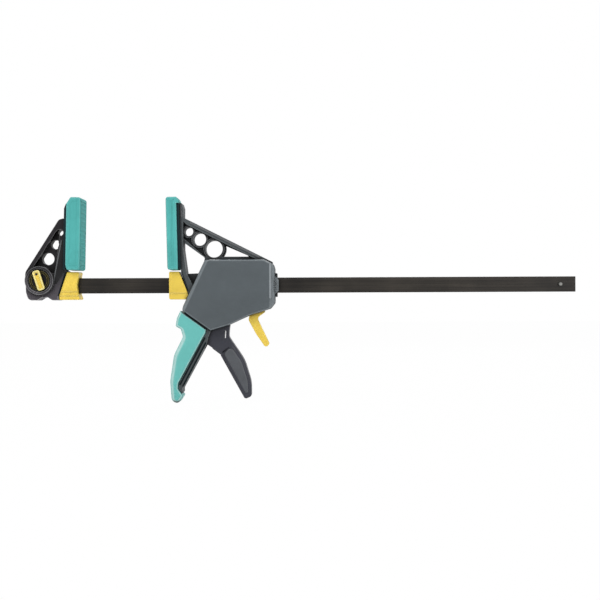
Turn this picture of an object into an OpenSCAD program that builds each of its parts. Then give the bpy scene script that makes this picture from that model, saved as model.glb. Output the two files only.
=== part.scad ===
// Quick release bar clamp for one hand, 450 mm opening, with a 99 mm throat.
// X runs along the bar from the fixed jaw to its free end, Z up towards the pads, Y across the clamp.
// Every module draws about the bar's centre line, with X = 0 at the tip of the fixed pad.
// in_part_frame() then moves the clamp so that the origin is the middle of that pad's clamping face.

/* [Bar] */
// Height of the flat bar
bar_h = 19; // [17:0.5:20]
// Thickness of the flat bar
bar_t = 6; // [5:0.5:7]
// Radius along the bar's four long edges
bar_edge_r = 1.2; // [0.6:0.1:1.8]
// Length of bar beyond the fixed pad's clamping face
bar_reach = 609; // [500:1:900]
// Distance from the bar's free end to the stop pin
stop_inset = 19; // [12:1:30]
// Radius of the stop pin
stop_pin_r = 2; // [1.6:0.1:3]
// How far the stop pin stands out of each side of the bar
stop_pin_proud = 3.5; // [2:0.5:6]

/* [Jaws] */
// Opening between the two pads as drawn
opening = 103; // [20:1:400]
// Throat depth, from the bar's top edge to the top of the pads
throat = 99; // [92:1:120]
// Gap between the bar's top edge and the bottom of the pads
pad_lift = 9.5; // [9:0.5:12]
// Width of the pads across the clamp
pad_w = 36; // [30:1:40]
// Corner radius of the pads' clamping faces
pad_corner_r = 6; // [3:0.5:10]
// Thickness of the fixed jaw's pad
fixed_pad_t = 18.25; // [15:0.25:22]
// Thickness of the moving jaw's pad
moving_pad_t = 13.25; // [11:0.25:15]
// Lean of each pad, so that the tips of the pads meet first
toe_in = 1.3; // [0:0.1:2.5]
// Width of the black pad carriers
carrier_w = 31; // [28:1:36]
// Thickness of the pad carriers
carrier_t = 3; // [2:0.25:4]
// How far the pads stand above their carriers
carrier_drop = 8; // [6:0.5:12]
// Width of the jaw flanges
flange_w = 24; // [20:1:28]
// Thickness of the jaw flanges
flange_t = 5; // [4:0.5:6]
// Thickness of the moving jaw's column behind its pad carrier
column_t = 3.5; // [3:0.25:5]
// Thickness of the web between the flanges
web_w = 9; // [8:0.5:12]
// Width of the yellow bar shoes
shoe_w = 22; // [18:1:26]
// Height of the bar shoes under the bar
shoe_drop = 7.8; // [5:0.2:9]

/* [Jaw lock] */
// Distance of the lock knob behind the fixed pad's face
lock_back = 52.5; // [48:0.5:54]
// Distance of the lock shaft's centre below the bar's top edge
lock_drop = 2.8; // [2:0.1:3.2]
// Radius of the lock shaft
lock_shaft_r = 5.5; // [4.5:0.25:6]
// Radius of the round boss on the fixed jaw
boss_r = 17.5; // [16:0.5:19]
// Width of the round boss
boss_w = 32; // [28:1:34]
// Radius of the lock knob
knob_r = 13.8; // [12:0.2:14]
// Thickness of the lock knob's disc
knob_t = 3; // [2:0.5:4]
// Length of the grip bar on the lock knob
knob_bar_len = 25; // [18:1:26]
// Width of the grip bar on the lock knob
knob_bar_w = 9; // [6:0.5:11]
// Height of the grip bar on the lock knob
knob_bar_h = 4; // [3:0.5:5]
// Lean of the grip bar when the jaw is locked
knob_lean = 18; // [0:1:45]

/* [Body] */
// Width of the body over both shells
body_w = 38; // [35:1:42]
// Wall of the two body shells
shell_wall = 3; // [2.5:0.25:3.5]
// Width of the bevel round the outer face of each shell
shell_bevel = 3.2; // [2:0.2:3.6]
// Width of the handle's spine along the trigger side
spine_w = 27; // [25:1:29]
// How far the handle's foot hangs below the bar's middle line
handle_reach = 145.8; // [140:0.2:152]
// Width of the soft grip
grip_w = 31; // [30:1:35]
// Thickness of the soft grip over the handle
grip_t = 3; // [2:0.25:3.5]
// Radius of the shell screws
screw_r = 1.8; // [1.5:0.1:2.2]
// Radius of the shell screws' heads
screw_head_r = 3.5; // [3:0.25:4]
// Length of the shell screws under their heads
screw_len = 14; // [10:1:18]

/* [Trigger and drive] */
// Width of the trigger where the fingers pull
trigger_w = 23; // [20:1:26]
// Width of the trigger's web inside the body
trigger_web_w = 14.5; // [11:0.5:15.5]
// Radius of the trigger pin
trigger_pin_r = 3; // [2.5:0.25:3.5]
// Largest trigger angle
trigger_travel = 24; // [15:1:25]
// Height of the trigger's nose above its pin
nose_reach = 24; // [23:0.25:25]
// Radius of the trigger's nose
nose_r = 3; // [2.5:0.25:3.5]
// Thickness of one drive plate
drive_plate_t = 3; // [2:0.25:3.5]
// Number of drive plates
drive_plate_count = 2; // [1:1:3]
// Width of the drive and brake plates
plate_w = 25; // [24:0.5:28]

/* [Brake and release] */
// Thickness of the brake plate
brake_t = 3.2; // [2.5:0.1:3.6]
// Tilt of the brake plate when it grips
brake_tilt = 5; // [3:0.5:5]
// Extra height of the brake plate's slot over the bar
brake_slack = 0.7; // [0.6:0.05:1]
// Width of the release lever
lever_w = 13; // [10:1:15]
// Largest release lever angle
lever_travel = 15; // [10:1:16]
// Radius of the release lever's pin
lever_pin_r = 2; // [1.5:0.25:2.5]

/* [Springs] */
// Wire radius of the two bar springs
wire_r = 0.8; // [0.6:0.05:1]
// Turns of the drive spring
drive_turns = 5; // [3:1:6]
// Turns of the brake spring
brake_turns = 2; // [1:1:3]

/* [Fits] */
// Clearance between the bar and what slides on it, on each side
bar_clear = 0.25; // [0.15:0.05:0.4]
// Radial clearance of a pin or shaft that turns
pin_clear = 0.06; // [0.02:0.01:0.1]
// Gap between pieces that move past each other
run_gap = 0.4; // [0.3:0.05:0.6]

/* [Hidden] */
$fn = 64;
over = 1;  // how far a cut runs past the face it opens

// Colours
steel_black = [0.17, 0.15, 0.13];
steel_bright = [0.72, 0.73, 0.75];
charcoal = [0.16, 0.16, 0.18];
body_grey = [0.33, 0.35, 0.37];
trigger_grey = [0.26, 0.26, 0.29];
soft_teal = [0.33, 0.68, 0.66];
clear_yellow = [0.95, 0.80, 0.24];
carrier_black = [0.06, 0.09, 0.10];

// Heights about the bar's centre line
bar_top = bar_h / 2;
pad_bottom = bar_top + pad_lift;
pad_top = bar_top + throat;
pad_mid = (pad_bottom + pad_top) / 2;
carrier_top = pad_top - carrier_drop;
carrier_bottom = pad_bottom + 0.5;
shelf_top = pad_bottom - 0.5;
shoe_top = pad_bottom - 2;
shoe_bottom = -bar_top - shoe_drop;
slot_h = bar_h + 2 * bar_clear;
slot_t = bar_t + 2 * bar_clear;

// Fixed jaw, measured along X from the tip of the fixed pad
lock_x = -lock_back;
lock_z = bar_top - lock_drop;
bar_tail = lock_x - 10.5;
heel_x = -70.5;
heel_z = 16.5;
heel_foot = -69.4;
foot_x = -29.6;
shoe_lip = -20;
shoe_heel = -11;
jaw_bottom = shoe_bottom - 0.5;
jaw_waist = jaw_bottom + 3.6;
fixed_arm_top = pad_top - 25;
fixed_arm_tip = [jaw_back(fixed_arm_top) - 7, fixed_arm_top - 2];
fixed_slope = (fixed_arm_tip[1] - heel_z) / (fixed_arm_tip[0] - heel_x);
fixed_rim = 1;  // metal between the holes and the flange
fixed_holes = [[-43.6, 7.5], [-34.4, 5.7], [-27.2, 4]];  // [x, radius]
recess_r = knob_r + run_gap;
nut_sink = 1;  // how deep the lock nut sits below the boss
knob_face = -boss_w / 2 + 1;
recess_floor = knob_face + knob_t + run_gap;
nut_af = 13;
nut_t = 3;
washer_t = 1;
washer_y = boss_w / 2 - nut_t - washer_t - nut_sink;
nut_recess_r = 8.5;

// Moving jaw and body, measured along X from the tip of the moving pad
front_foot = [27.8, -10.5];
frame_top = pad_top - 7.2;
arm_top = pad_top - 24.4;
column_x = spine_x(arm_top) + column_t;
column_bend = 44;
chord_start = [column_x + 5.8, arm_top - 2.9];
chord_end = [131, 28.4];
chord_foot = 115;
chord_heel = 131.5;
web_end = 126;
chord_t = 5.9;
chord_slope = (chord_end[1] - chord_start[1]) / (chord_end[0] - chord_start[0]);
arm_holes = [[27.8, 5.4], [41.2, 7.9], [58.8, 10.6]];  // [x, radius]
ring_t = 2.4;
hole_rim = 1.2;  // metal between the holes and the chord
rib_w = 17;
window_rim = 2.2;
tip_rim = 0.1;  // the rear window's tip comes this close to the chord
body_top = 31.7;
shell_step = 2;  // how far the shells stay below the arm's top edge
rear_face = 134.2;
rear_corner = rear_face - 1.7;
inner_y = body_w / 2 - shell_wall;
drive_bay = [60, 100];
brake_bay = [104, 125];
bay_floor = -30;
fulcrum = [114, 18];
rocker_r = brake_t / 2 + 0.4;
rocker_w = plate_w - 1;
bay_roof = fulcrum[1] + rocker_r + 0.6;

// Trigger and drive plates
pivot = [64, -38];
hub_r = trigger_pin_r + 4.5;
nose_x = pivot[0] + 1.8;
nose_z = pivot[1] + nose_reach;
drive_x = nose_x + nose_r + run_gap;
plate_gap = 0.3;
drive_end = drive_x + drive_plate_count * (drive_plate_t + plate_gap) - plate_gap;
plate_top = 16;
plate_bottom = -20;
coil_r = norm([bar_h, bar_t]) / 2 + run_gap + wire_r;
spring_seat = 0.05;  // play at each end of a spring

// Brake and release lever
brake_foot = 19.8 + fulcrum[1];
lever_pivot = [113, -26.5];
lever_tip_r = 2.2;
lever_tip_z = -17.5;
brake_face = fulcrum[0] - tan(brake_tilt) * (fulcrum[1] - lever_tip_z) - brake_t / 2 / cos(brake_tilt);
lever_tip_x = brake_face - lever_tip_r - run_gap;
lever_hub_r = lever_pin_r + 3;

screws = [[54, 24.5], [128, 19], [128, -17.5], [36, -25], [90, -35.5]];
screw_seat = body_w / 2 - 2;  // the screws' heads rest here, sunk in the back shell
pin_end = inner_y + 1;        // the two pins end in blind holes in the shells

// Outlines: each corner is [x, z, radius], listed clockwise as seen from the front
jaw_outline = [
  [jaw_back(fixed_arm_top), fixed_arm_top, 1.5], [jaw_back(shelf_top), shelf_top, 0],
  [shoe_lip, shelf_top, 0.5], [shoe_lip, shoe_top, 0], [foot_x, shoe_heel, 2], [foot_x, jaw_bottom, 1.5],
  [-37, jaw_bottom, 4], [-42.5, jaw_waist, 3], [-50, jaw_waist, 3],
  [-55.5, jaw_bottom, 4], [-66.5, jaw_bottom, 6], [heel_foot, -8, 6], [heel_x, heel_z, 10],
  [fixed_arm_tip[0], fixed_arm_tip[1], 5]
];
pocket_floor = bar_top + 6;
pocket_x = jaw_back(fixed_arm_top) - flange_t;
jaw_pocket = [
  [pocket_x, fixed_chord(pocket_x) - fixed_inset(flange_t), 2],
  [jaw_back(pocket_floor) - 2 * flange_t, pocket_floor, 3],
  [(pocket_floor + fixed_inset(flange_t) - heel_z) / fixed_slope + heel_x, pocket_floor, 3]
];
fixed_shoe_outline = [
  [shoe_lip, shoe_top, 0.5], [-4.1, shoe_top, 1.5], [-7.1, 1.5, 8], [-6.2, -8.5, 5],
  [-3.2, shoe_bottom, 1.5], [foot_x, shoe_bottom, 1], [foot_x, shoe_heel, 2]
];
moving_shoe_outline = [
  [3.4, shoe_top, 1.5], [spine_x(shoe_top) - 1.5, shoe_top, 0.5], [front_foot[0], front_foot[1], 1],
  [front_foot[0], -13, 1], [24.4, shoe_bottom, 2], [3.6, shoe_bottom, 2], [3.4, -13, 2]
];
carrier_back = -fixed_pad_t - carrier_t;
carrier_outline = [
  [-fixed_pad_t - 0.8, carrier_top, 0], [-fixed_pad_t, carrier_top, 0], [-fixed_pad_t, carrier_bottom, 0],
  [carrier_back, carrier_bottom, 0], [carrier_back, carrier_top - 6, 2]
];
pad_back_t = moving_pad_t + carrier_t;
fixed_pad_outline = [
  [-13.2, pad_top, 2], [0, pad_top, 3.5], [0, pad_bottom, 3], [-fixed_pad_t + 2, pad_bottom, 2],
  [-fixed_pad_t, pad_bottom + 6, 3], [-fixed_pad_t, carrier_top, 1.5]
];
moving_pad_outline = [
  [0, pad_top, 3], [pad_back_t - 2.6, pad_top, 2], [pad_back_t, pad_top - 6, 2],
  [pad_back_t, carrier_top, 0], [moving_pad_t, carrier_top, 0],
  [moving_pad_t, pad_bottom, 1.5], [0, pad_bottom, 3]
];
column_outline = [
  [spine_x(frame_top), frame_top, 0.5], [spine_x(frame_top) + column_t - 0.4, frame_top, 1],
  [column_x + 1, frame_top - 6, 3], [column_x + 0.8, arm_top, 0],
  [spine_x(column_bend) + column_t, column_bend, 14],
  [spine_x(column_bend) + column_t + 4, 14.5, 6], [33, 0, 0], front_foot, [spine_x(shoe_top), shoe_top, 0]
];
chord_outline = [
  [column_x - 1, arm_top + 0.7, 0], [chord_start[0], chord_start[1], 5], chord_end,
  [chord_heel, 25, 0], [chord_heel, 18, 0], [chord_foot, moving_chord(chord_foot) - chord_drop(chord_t), 0],
  [chord_start[0], moving_chord(chord_start[0]) - chord_drop(chord_t), 3],
  [column_x - 1, moving_chord(column_x) - chord_drop(chord_t) + 3, 0]
];
web_outline = [
  [column_x - 1, arm_top, 0], [chord_start[0], chord_start[1], 0],
  [web_end, moving_chord(web_end) - 1, 0], [web_end, bay_roof + 2, 0],
  [drive_bay[0] - 4, bay_roof + 2, 0], [38, 0, 0], [26, 0, 0], [column_x - 1, column_bend, 0]
];
sill_top = body_top + 3.6;
sill_outline = [[48, sill_top, 0], [112, sill_top, 0], [112, 25, 0], [48, 25, 0]];
strut_outline = [
  [column_x - 1, arm_top - 24.5, 0], [50, 33, 0], [50, 26, 0], [column_x - 1, arm_top - 31.5, 0]
];
rear_window = [
  [70, moving_chord(70) - chord_drop(chord_t + window_rim), 0],
  [moving_chord_x(sill_top + chord_drop(chord_t + tip_rim)), sill_top, 0.8], [66, sill_top, 0]
];
front_window = [
  [column_x - 0.5, arm_top - 30, 1], [47.6, 34, 2.5], [45.8, 27.5, 1], [39.8, 15, 1.5],
  [spine_x(column_bend) + column_t + 4, 14.5, 1.5], [spine_x(column_bend) + column_t + 1, 26, 6],
  [column_x - 0.5, column_bend - 8, 0]
];
body_outline = [
  [48, body_top, 3.5], [moving_chord_x(body_top + chord_drop(shell_step)), body_top, 8],
  [rear_corner, moving_chord(rear_corner) - chord_drop(shell_step), 3.5], [rear_face, 20, 4],
  [rear_face, -22.3, 5], [128.6, -29.3, 6], [103, -37.3, 30], [77, -49.2, 10],
  [54.6, -55.8, 1.5], [19.6, -30.6, 3], [21, -25, 6]
];
arm_slot = [
  [40, body_top + 5, 0], [web_end, body_top + 5, 0], [web_end, bay_roof, 0], [40, bay_roof, 0]
];
column_slot = [[15, 14, 0], [45, 14, 0], [30, -14, 0], [15, -14, 0]];
foot_z = -handle_reach;
handle_outline = [
  [24, -28, 0], [56, -52.5, 0], [51.6, -64, 8], [49.6, -72.4, 6], [19.6, foot_z + 18.3, 6],
  [20.6, foot_z + 9.8, 1.5], [14.4, foot_z, 4.8], [6.2, foot_z + 3.6, 7], [4.4, foot_z + 27.8, 30],
  [9.2, -86, 30], [20.6, -63, 6], [17.6, -53.6, 3], [11.4, -50.4, 2.5], [12.9, -40.5, 6]
];
grip_skin = [0, 0, 0, 0, 0, grip_t, grip_t, grip_t, grip_t, grip_t, grip_t, grip_t, grip_t, grip_t];
grip_edge = [
  [28.8, -21.1, 0], [51.8, -45, 0], [49.4, -58.4, 1], [47.4, -61.8, 4], [15.6, foot_z + 25.3, 8],
  [15.4, foot_z + 18.8, 3], [20.6, foot_z + 9.8, 1]
];
grip_top = [[17.8, -30.3, 0.5], [50.25, -53.66, 0.5]];
grip_outline = concat(grip_top, [for (i = [2 : 6]) grip_edge[i]],
  [for (i = [6 : len(handle_outline) - 1]) handle_outline[i]]);
trigger_web_outline = [
  [nose_x - nose_r + 0.3, nose_z, 0], [nose_x + nose_r - 0.3, nose_z, 0],
  [pivot[0] + hub_r - 0.4, pivot[1], 3], [78.2, -47, 3], [77, -56, 5], [76.6, -63.5, 8],
  [87, -79, 0], [80, -95, 0], [65.2, -83.4, 5],
  [49.8, -72.8, 4], [47, -69, 1.5], [50, -57, 6], [pivot[0] - hub_r, pivot[1], 4], [62, -26, 6]
];
trigger_slot = [[71.6, -56, 0.6], [73.2, -56, 0.6], [72.8, -65.5, 0.6], [71, -65.5, 0.6]];
finger_outline = [
  [65.2, -84.4, 4], [81.6, -72.6, 7], [96, -92.5, 45], [104.2, -119, 45], [104.4, -137.2, 4],
  [96.2, -140.6, 3]
];
trigger_room_edge = [[54, -27], [80, -27], [80, -60], [95, -80], [72, -95]];
trigger_room_end = [46, -40];
lever_room_gap = 2.5;
lever_room_edge = [[brake_bay[0], -24], [brake_bay[1], -24], [brake_bay[1], -60], [88, -60]];
lever_outline = [
  [106.9, -27, 0], [119.5, -27, 3], [121.4, -33.4, 1], [111.4, -40.4, 4], [126.8, -72.6, 3],
  [122.2, -77.8, 3], [110.2, -60.4, 20], [100.8, -43, 6], [103, -33, 4]
];
guide_start = rear_face - 4;
guide_end = rear_face + 2.6;
guide_half = 14.6;
guide_outline = [
  [guide_start, guide_half, 0], [guide_end, guide_half, 0.8], [guide_end, -guide_half, 0.8],
  [guide_start, -guide_half, 0]
];
collar_w = 32;
collar_end = rear_face + 4.2;
collar_outline = [
  [rear_face - 1, 11, 0], [rear_face + 1.5, 9.6, 3], [collar_end, 6.5, 3], [collar_end, -6.5, 3],
  [rear_face + 1.5, -9.6, 3], [rear_face - 1, -11, 0]
];

// ---- outlines and their corners
function unit(v) = v / norm(v);
function turn(a, b) = a[0] * b[1] - a[1] * b[0];
function xz(c) = [c[0], c[1]];
function toe(z) = (pad_top - z) * tan(toe_in);
function jaw_back(z) = -(fixed_pad_t + carrier_t) / cos(toe_in) - toe(z);
function spine_x(z) = (moving_pad_t + carrier_t) / cos(toe_in) + toe(z);
function radius(c) = len(c) > 2 ? c[2] : 0;
function wrap(list, i) = list[(i + len(list)) % len(list)];
function fixed_chord(x) = heel_z + fixed_slope * (x - heel_x);
function fixed_inset(d) = d * norm([1, fixed_slope]);
function moving_chord(x) = chord_start[1] + chord_slope * (x - chord_start[0]);
function moving_chord_x(z) = chord_start[0] + (z - chord_start[1]) / chord_slope;
function chord_drop(d) = d * norm([1, chord_slope]);

// A point turned about another, as a joint turns it
function swung(p, centre, angle) = let (d = xz(p) - centre)
  [centre[0] + d[0] * cos(angle) + d[1] * sin(angle), centre[1] - d[0] * sin(angle) + d[1] * cos(angle)];

// Points that round one corner of an outline
function corner_arc(before, c, after) =
  radius(c) == 0 ? [xz(c)] :
  let (
    into = unit(xz(before) - xz(c)),
    out = unit(xz(after) - xz(c)),
    half = acos(into * out) / 2,
    centre = xz(c) + unit(into + out) * c[2] / sin(half),
    first = xz(c) + into * c[2] / tan(half) - centre,
    last = xz(c) + out * c[2] / tan(half) - centre,
    sweep = atan2(turn(first, last), first * last)
  )
  [for (k = [0 : 4]) let (a = sweep * k / 4)
    centre + [first[0] * cos(a) - first[1] * sin(a), first[0] * sin(a) + first[1] * cos(a)]];

// Outline with every corner rounded by its own radius
function rounded(corners) = [for (i = [0 : len(corners) - 1])
  each corner_arc(wrap(corners, i - 1), corners[i], wrap(corners, i + 1))];

// Corners moved inwards, by one distance or by a list with one for the edge after each corner
function inset(corners, d) = [for (i = [0 : len(corners) - 1])
  let (
    c = corners[i],
    d1 = is_list(d) ? wrap(d, i - 1) : d,
    d2 = is_list(d) ? d[i] : d,
    e1 = unit(xz(c) - xz(wrap(corners, i - 1))),
    e2 = unit(xz(wrap(corners, i + 1)) - xz(c)),
    n1 = [e1[1], -e1[0]],
    n2 = [e2[1], -e2[0]],
    det = turn(n1, n2),
    move = [d1 * n2[1] - d2 * n1[1], d2 * n1[0] - d1 * n2[0]] / det,
    r = radius(c) == 0 ? 0 : turn(e1, e2) < 0 ? max(c[2] - (d1 + d2) / 2, 0.3) : c[2] + (d1 + d2) / 2
  )
  [c[0] + move[0], c[1] + move[1], r]];

// ---- building blocks
// Flat slab of an outline between two Y planes
module slab(corners, y0, y1) {
  translate([0, y1, 0]) rotate([90, 0, 0]) linear_extrude(y1 - y0) polygon(rounded(corners));
}

// Slab centred on the clamp's middle plane
module mid_slab(corners, w) slab(corners, -w / 2, w / 2);

// Round rod along Y
module rod(p, r, y0, y1) {
  translate([p[0], y1, p[1]]) rotate([90, 0, 0]) cylinder(r = r, h = y1 - y0);
}

// Solid through a stack of rings with equal numbers of points [x, y, z]
module loft(rings) {
  n = len(rings[0]);
  last = len(rings) - 1;
  sides = [for (k = [0 : last - 1]) for (i = [0 : n - 1]) let (j = (i + 1) % n) each [
    [k * n + i, (k + 1) * n + i, (k + 1) * n + j],
    [k * n + i, (k + 1) * n + j, k * n + j]]];
  caps = [[for (i = [0 : n - 1]) i], [for (i = [n - 1 : -1 : 0]) last * n + i]];
  polyhedron([for (ring = rings) each ring], concat(sides, caps), convexity = 6);
}

// Slab whose edges are rounded over by r in a few steps
module soft_slab(corners, w, r, steps = 3) {
  turns = concat([for (k = [steps : -1 : 0]) [-1, 90 * k / steps]],
    [for (k = [0 : steps]) [1, 90 * k / steps]]);
  loft([for (t = turns) [for (p = rounded(inset(corners, r * (1 - cos(t[1])))))
    [p[0], t[0] * (w / 2 - r * (1 - sin(t[1]))), p[1]]]]);
}

// Passage for the bar from x0 to x1
module bar_passage(x0, x1) {
  translate([x0, -slot_t / 2, -slot_h / 2]) cube([x1 - x0, slot_t, slot_h]);
}

// Coil spring round the bar, with x0 and x1 as its two ends
module bar_spring(x0, x1, turns) {
  count = turns * 20;
  loft([for (k = [0 : count])
    let (a = 360 * k / 20, x = x0 + wire_r + (x1 - x0 - 2 * wire_r) * k / count)
    [for (s = [0 : 7]) let (w = -45 * s, r = coil_r + wire_r * cos(w))
      [x + wire_r * sin(w), r * cos(a), r * sin(a)]]]);
}

// Steel plate across the bar, upright, with its middle at x = 0
module bar_plate(t, z0, z1, hole_h, hole_z) {
  difference() {
    translate([-t / 2, -plate_w / 2, z0]) cube([t, plate_w, z1 - z0]);
    translate([-t / 2 - over, -slot_t / 2, hole_z - hole_h / 2]) cube([t + 2 * over, slot_t, hole_h]);
  }
}

module in_part_frame() translate([toe(pad_mid), 0, -pad_mid]) children();
module on_moving_jaw() translate([opening, 0, 0]) children();

// Leans a pad or its carrier about the pad's tip, to one side or the other
module leaning(side) {
  translate([0, 0, pad_top]) rotate([0, side * toe_in, 0]) translate([0, 0, -pad_top]) children();
}

// ---- bar and fixed jaw
module bar() {
  color(steel_black) in_part_frame() difference() {
    translate([bar_tail, 0, 0]) rotate([90, 0, 90]) linear_extrude(bar_reach - bar_tail)
      polygon(rounded([[-bar_t / 2, bar_top, bar_edge_r], [bar_t / 2, bar_top, bar_edge_r],
        [bar_t / 2, -bar_top, bar_edge_r], [-bar_t / 2, -bar_top, bar_edge_r]]));
    rod([lock_x, lock_z], lock_shaft_r + run_gap, -bar_t, bar_t);
    rod([bar_reach - stop_inset, 0], stop_pin_r, -bar_t, bar_t);
  }
}

module stop_pin() {
  reach = bar_t / 2 + stop_pin_proud;
  color(steel_black) in_part_frame() rod([bar_reach - stop_inset, 0], stop_pin_r, -reach, reach);
}

module fixed_jaw() {
  color(charcoal) in_part_frame() difference() {
    union() {
      difference() {
        mid_slab(jaw_outline, flange_w);
        slab(jaw_pocket, web_w / 2, flange_w);
        slab(jaw_pocket, -flange_w, -web_w / 2);
      }
      rod([lock_x, lock_z], boss_r, -boss_w / 2, boss_w / 2);
    }
    for (h = fixed_holes)
      rod([h[0], fixed_chord(h[0]) - fixed_inset(flange_t + fixed_rim + h[1])], h[1], -flange_w, flange_w);
    translate([bar_tail, -slot_t / 2, -slot_h / 2]) cube([-bar_tail, slot_t, slot_h]);
    rod([lock_x, lock_z], recess_r, -boss_w, recess_floor);
    rod([lock_x, lock_z], lock_shaft_r + pin_clear, -boss_w, boss_w);
    rod([lock_x, lock_z], nut_recess_r, washer_y, boss_w);
  }
}

module fixed_carrier() {
  color(carrier_black) in_part_frame() leaning(1) mid_slab(carrier_outline, carrier_w);
}

// Soft jaw pad: its side outline, rounded as seen along the bar
module jaw_pad(corners) {
  intersection() {
    mid_slab(corners, pad_w);
    translate([-fixed_pad_t - over, 0, 0]) rotate([90, 0, 90])
      linear_extrude(fixed_pad_t + pad_back_t + 2 * over)
        polygon(rounded([[-pad_w / 2, pad_top, pad_corner_r], [pad_w / 2, pad_top, pad_corner_r],
          [pad_w / 2, pad_bottom, pad_corner_r], [-pad_w / 2, pad_bottom, pad_corner_r]]));
  }
}

module fixed_pad() color(soft_teal) in_part_frame() leaning(1) jaw_pad(fixed_pad_outline);

module fixed_shoe() {
  color(clear_yellow) in_part_frame() difference() {
    mid_slab(fixed_shoe_outline, shoe_w);
    bar_passage(foot_x - over, over);
  }
}

module lock_knob() {
  color(charcoal) in_part_frame() rod([lock_x, lock_z], knob_r, knob_face, knob_face + knob_t);
}

module lock_grip() {
  l = knob_bar_len / 2;
  w = knob_bar_w / 2;
  color(clear_yellow) in_part_frame() translate([lock_x, 0, lock_z]) rotate([0, -knob_lean, 0])
    slab([[-w, l, 2.5], [w, l, 2.5], [w, -l, 2.5], [-w, -l, 2.5]], knob_face - knob_bar_h, knob_face);
}

// Lock shaft: its flat stands upright while locked and lies over the bar after a quarter turn
module lock_shaft() {
  color(steel_bright) in_part_frame() difference() {
    rod([lock_x, lock_z], lock_shaft_r, knob_face + knob_t, boss_w / 2 - 0.5);
    translate([lock_x - lock_drop - run_gap, -slot_t / 2, lock_z - boss_r])
      cube([boss_r, slot_t, 2 * boss_r]);
  }
}

module lock_washer() {
  color(steel_bright) in_part_frame() difference() {
    rod([lock_x, lock_z], nut_recess_r - 0.5, washer_y, washer_y + washer_t);
    rod([lock_x, lock_z], lock_shaft_r, 0, boss_w);
  }
}

module lock_nut() {
  color(steel_bright) in_part_frame() difference() {
    translate([lock_x, boss_w / 2 - nut_sink, lock_z]) rotate([90, 0, 0])
      cylinder(d = nut_af / cos(30), h = nut_t, $fn = 6);
    rod([lock_x, lock_z], lock_shaft_r, 0, boss_w);
  }
}

// ---- moving jaw
// Room that the trigger's web sweeps through, from rest to fully pulled
module trigger_room(w) {
  pulled = [for (i = [8 : 11]) swung(trigger_web_outline[i], pivot, trigger_travel)];
  mid_slab(inset(concat(trigger_room_edge, pulled, [trigger_room_end]), -2 * run_gap), w + 2 * run_gap);
}

// Room that the release lever sweeps through
module lever_room(w) {
  pulled = [for (i = [7 : 8]) swung(lever_outline[i], lever_pivot, lever_travel) - [lever_room_gap, 0]];
  mid_slab(concat(lever_room_edge, pulled), w + 2 * run_gap);
}

module bay(span) {
  translate([span[0], -inner_y - over, bay_floor])
    cube([span[1] - span[0], 2 * (inner_y + over), bay_roof - bay_floor]);
}

// Core of the body between the shells, with the drive bay and the brake bay
module body_core() {
  difference() {
    mid_slab(inset(body_outline, shell_wall), 2 * inner_y);
    bay(drive_bay);
    bay(brake_bay);
  }
  for (x = [[brake_bay[0], fulcrum[0] - rocker_r - run_gap],
    [fulcrum[0] + rocker_r + run_gap, brake_bay[1]]])
    translate([x[0], -inner_y, fulcrum[1] - 3])
      cube([x[1] - x[0], 2 * inner_y, bay_roof - fulcrum[1] + 3 + 0.5]);
}

// Part of the handle under the soft grip, and the spine along its trigger side
module handle_core() mid_slab(inset(handle_outline, grip_skin), grip_w - 2 * grip_t);

module handle_spine(w) {
  mid_slab(concat([for (i = [1 : 5]) handle_outline[i]], [for (i = [5 : -1 : 1]) grip_edge[i]]), w);
}

// Lattice arm: thin web with wide ribs round its holes and along its edges
module lattice_arm() {
  difference() {
    union() {
      mid_slab(web_outline, web_w);
      for (h = arm_holes) rod(hole_at(h), h[1] + ring_t, -rib_w / 2, rib_w / 2);
      mid_slab(strut_outline, rib_w);
      mid_slab(sill_outline, rib_w);
    }
    for (h = arm_holes) rod(hole_at(h), h[1], -flange_w, flange_w);
    mid_slab(front_window, 2 * flange_w);
    difference() {
      mid_slab(rear_window, 2 * flange_w);
      rod(hole_at(arm_holes[2]), arm_holes[2][1] + ring_t + 1.8, -flange_w - over, flange_w + over);
    }
  }
  mid_slab(column_outline, flange_w);
  mid_slab(chord_outline, flange_w);
}

function hole_at(h) = [h[0], moving_chord(h[0]) - chord_drop(chord_t + hole_rim + h[1])];

module jaw_frame() {
  color(charcoal) in_part_frame() on_moving_jaw() difference() {
    union() {
      body_core();
      handle_core();
      handle_spine(spine_w);
      lattice_arm();
    }
    bar_passage(0, rear_face);
    trigger_room(trigger_web_w);
    lever_room(lever_w);
    mid_slab(guide_outline, plate_w);
    rod(pivot, trigger_pin_r, -body_w, body_w);
    rod(lever_pivot, lever_pin_r, -body_w, body_w);
    for (s = screws) rod(s, screw_r, screw_seat - screw_len, body_w);
  }
}

module moving_carrier() {
  color(carrier_black) in_part_frame() on_moving_jaw() leaning(-1)
    translate([moving_pad_t, -carrier_w / 2, carrier_bottom])
      cube([carrier_t, carrier_w, carrier_top - carrier_bottom]);
}

module moving_pad() {
  color(soft_teal) in_part_frame() on_moving_jaw() leaning(-1) jaw_pad(moving_pad_outline);
}

module moving_shoe() {
  color(clear_yellow) in_part_frame() on_moving_jaw() difference() {
    mid_slab(moving_shoe_outline, shoe_w);
    bar_passage(-over, front_foot[0] + over);
  }
}

module rear_guide() {
  color(charcoal) in_part_frame() on_moving_jaw() difference() {
    mid_slab(guide_outline, plate_w);
    bar_passage(guide_start - over, guide_end + over);
  }
}

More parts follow.
